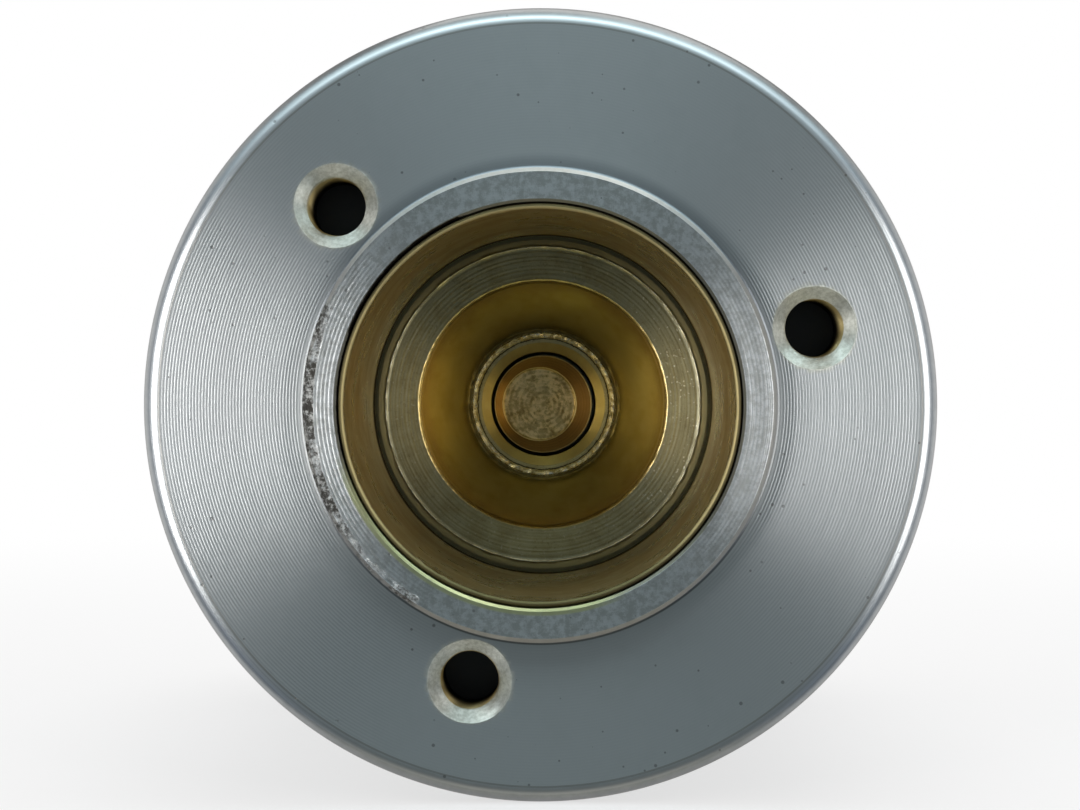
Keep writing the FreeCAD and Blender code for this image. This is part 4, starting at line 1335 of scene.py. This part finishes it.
def all_finishes():
    """Every finish of the solenoid by its material slot."""
    finishes = {
        "turned_steel": turned_steel(),
        "sleeve_brass": sleeve_brass(),
        "core_steel": core_steel(),
        "rod_steel": rod_steel(),
        "black_moulding": moulding("black_plastic", (0.013, 0.013, 0.014, 1), (0.03, 0.03, 0.031, 1)),
        "brown_moulding": moulding("brown_plastic", (0.09, 0.035, 0.016, 1), (0.13, 0.06, 0.03, 1)),
        "winding_wire": wound_wire(),
        "coil_paper": coil_paper(),
        "black_rubber": rubber(),
    }
    for slot, *values in (
        ("plain_steel", (0.56, 0.56, 0.55, 1), (0.36, 0.35, 0.33, 1), 3, 0.35, 0.5, 900.0, 0.02),
        ("spring_steel", (0.42, 0.41, 0.40, 1), (0.25, 0.23, 0.21, 1), 2, 0.28, 0.45, 1800.0, 0.01),
        ("plated_steel", (0.76, 0.75, 0.70, 1), (0.60, 0.58, 0.50, 1), 4, 0.28, 0.4, 1400.0, 0.006),
        ("stud_copper", (0.72, 0.36, 0.20, 1), (0.42, 0.19, 0.10, 1), 3, 0.28, 0.48, 1200.0, 0.012),
        ("bare_copper", (0.80, 0.44, 0.27, 1), (0.55, 0.26, 0.14, 1), 4, 0.25, 0.42, 1000.0, 0.012),
        ("tinned_brass", (0.78, 0.76, 0.70, 1), (0.62, 0.57, 0.44, 1), 3, 0.24, 0.36, 1300.0, 0.005),
        ("lead_copper", (0.68, 0.42, 0.30, 1), (0.45, 0.22, 0.13, 1), 1, 0.3, 0.45, 1500.0, 0.008),
        ("solder", (0.70, 0.70, 0.71, 1), (0.42, 0.42, 0.43, 1), 1.2, 0.2, 0.4, 700.0, 0.03),
    ):
        finishes[slot] = metal(f"{slot}_finish", *values)
    return finishes


# Putting the pieces on the frame

def dress(piece, material):
    """Puts one material on every slot of a piece."""
    if not piece.material_slots:
        piece.data.materials.append(material)
    for held in piece.material_slots:
        held.material = material


def stand_for(piece, node, body, slot, finishes):
    """Lets a new piece stand for a node: it rides on the body, takes the slot and wears its finish."""
    dress(piece, finishes[slot])
    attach(piece, body)
    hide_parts(node)


def sprung(node, body, finish_name, finishes):
    """A spring as a piece of its own: a copy of its solid that rides on its body and wears its finish.
    """
    held = frame["nodes"][node]
    coil = new_object(f"{node}_coil", held.data.copy())
    bpy.context.view_layer.update()
    coil.data.transform(held.matrix_world)
    stand_for(coil, node, body, finish_name, finishes)
    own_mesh(coil)


def slot_names():
    """Material slot of each node, from the record."""
    found = {}
    for name, piece in frame["nodes"].items():
        found[name] = piece.material_slots[0].material.name.split(".")[0]
    return found


# Studio

def studio_world():
    """White surroundings for the camera, and a room for the metal to reflect.

    Towards -Y, where the photographer stands, the room is slate grey: darkest straight ahead of the face,
    with a bright band overhead. To the sides and behind it is white.
    """
    world = bpy.data.worlds.new("studio")
    bpy.context.scene.world = world
    world.cycles.sampling_method = "NONE"
    tree = fresh_tree(world)
    way = add(tree, "ShaderNodeTexCoord").outputs["Generated"]
    x, y, upward = split(way)
    forward = times(y, -1.0)
    sideways = calc("ABSOLUTE", x)
    low_slate = between(spread(upward, -0.2, 0.4), LOW_SLATE, (0.15, 0.18, 0.195, 1))
    blue = spread(sideways, 0.30, 0.60)
    low_slate = between(times(blue, 0.6), low_slate, (0.15, 0.20, 0.28, 1))
    overhead = times(spread(upward, 0.46, 0.80), spread(upward, 1.0, 0.86, 0.3, 1.0))
    overhead = times(overhead, spread(forward, 0.08, 0.36))
    slate = between(overhead, low_slate, (2.7, 3.4, 3.7, 1))
    slate = between(spread(upward, -0.68, -0.86), slate, (0.46, 0.46, 0.42, 1))
    dark = between(spread(forward, 0.90, 0.995), slate, (0.12, 0.15, 0.16, 1))
    behind = between(spread(sideways, 0.3, 0.9), grey(0.42), grey(0.95))
    edge = between(spread(forward, -0.30, 0.30), behind, dark)
    seen = add(tree, "ShaderNodeBackground", {"Color": grey(1.0), "Strength": 1.0})
    room = add(tree, "ShaderNodeBackground", {"Color": edge, "Strength": 1.0})
    plain = add(tree, "ShaderNodeBackground", {"Color": grey(0.62), "Strength": 1.0})
    ray = add(tree, "ShaderNodeLightPath")
    gloss = larger(ray.outputs["Is Glossy Ray"], ray.outputs["Is Transmission Ray"])
    first = add(tree, "ShaderNodeMixShader", {0: gloss, 1: plain.outputs[0], 2: room.outputs[0]})
    both = add(tree, "ShaderNodeMixShader", {
        0: ray.outputs["Is Camera Ray"], 1: first.outputs[0], 2: seen.outputs[0],
    })
    add(tree, "ShaderNodeOutputWorld", {"Surface": both.outputs[0]})


def aimed(name, data, place):
    """Lamp or camera at a place, turned to the middle of the mounting face."""
    held = new_object(name, data)
    held.location = place
    held.rotation_mode = "QUATERNION"
    held.rotation_quaternion = (-held.location).to_track_quat("-Z", "Y")
    return held


def softbox(name, place, size, power):
    """Soft rectangular lamp that faces the solenoid."""
    data = bpy.data.lights.new(name, "AREA")
    data.shape = "RECTANGLE"
    data.size, data.size_y = size
    data.energy = power
    aimed(name, data, place).visible_camera = False


def lamps():
    """A tall softbox on each side in front, and a broad one overhead."""
    softbox("left_softbox", (-0.42, -0.50, 0.0), (0.28, 0.38), 1.85)
    softbox("right_softbox", (0.44, -0.48, 0.01), (0.24, 0.44), 1.35)
    softbox("top_softbox", (0.1, 0.25, 0.9), (0.9, 0.7), 3.0)


def floor():
    """Pale round floor under the can, which turns into the white surroundings further out.

    It takes the can's shadow, and neither hides the lamps from the metal nor shows in it.
    """
    rings = np.array([0.0, 0.1, 0.25, 0.5, 1.0, FLOOR_R])
    points = carried_round(np.column_stack([rings, np.zeros_like(rings)]), 96)[..., [0, 2, 1]]
    points[..., 2] = cad_box[0][2]
    mesh = bpy.data.meshes.new("floor")
    mesh.from_pydata(points.reshape(-1, 3), [], grid_faces(len(rings), 96, False)[:, ::-1])
    ground = new_object("floor", mesh)
    ground.visible_glossy = False
    ground.visible_shadow = False
    material = bpy.data.materials.new("floor_finish")
    tree = fresh_tree(material)
    out = add(tree, "ShaderNodeVectorMath", {0: own_place(tree)}, operation="LENGTH").outputs["Value"]
    lit = add(tree, "ShaderNodeBsdfDiffuse", {"Color": grey(0.92)})
    white = add(tree, "ShaderNodeEmission", {"Color": grey(1.0), "Strength": 1.0})
    near = spread(out, 0.10, 0.42, 0.62, 1.0)
    share = times(add(tree, "ShaderNodeLightPath").outputs["Is Camera Ray"], near)
    both = add(tree, "ShaderNodeMixShader", {0: share, 1: lit.outputs[0], 2: white.outputs[0]})
    add(tree, "ShaderNodeOutputMaterial", {"Surface": both.outputs[0]})
    ground.data.materials.append(material)


def camera():
    """The photograph's view, straight along the axis from 20 cm in front of the face."""
    data = bpy.data.cameras.new("camera")
    data.lens = CAMERA_LENS
    data.clip_start = 0.01
    data.clip_end = 10.0
    bpy.context.scene.camera = aimed("camera", data, CAMERA_PLACE)


def main():
    """Builds the dressed solenoid and its studio."""
    slots = slot_names()
    finishes = all_finishes()
    for name, piece in frame["nodes"].items():
        dress(piece, finishes["lead_copper" if name.endswith("_lead") else slots[name]])
    stand_for(housing_can(), "housing_can", "root", "turned_steel", finishes)
    stand_for(plunger_sleeve(), "plunger_sleeve", "root", "sleeve_brass", finishes)
    stand_for(stationary_core(), "stationary_core", "root", "core_steel", finishes)
    stand_for(contact_rod(), "contact_rod", "rod", "rod_steel", finishes)
    for node in ("battery_stud", "motor_stud"):
        stand_for(threaded_stud(f"{node}_thread", node), node, "root", "stud_copper", finishes)
    stand_for(solder_joints(), "solder_joints", "root", "solder", finishes)
    for node, body, joint, fixed_y, keep in (
        ("return_spring", "root", "rod_slide", RETURN_SPRING_END_Y, RETURN_SPRING_KEPT),
        ("bridge_spring", "rod", "bridge_slide", BRIDGE_SPRING_Y, BRIDGE_SPRING_KEPT),
    ):
        sprung(node, body, slots[node], finishes)
    for node, width in {
        "terminal_cap": 0.3 * MM,
        "stud_washers": 0.15 * MM,
        "clamp_nuts": 0.15 * MM,
        "spring_washers": 0.15 * MM,
        "cable_nuts": 0.15 * MM,
        "motor_strap": 0.12 * MM,
        "switch_terminal": 0.1 * MM,
    }.items():
        broken_edges(node, width)
    studio_world()
    lamps()
    floor()
    camera()
    bpy.context.scene.view_settings.view_transform = "Standard"


main()
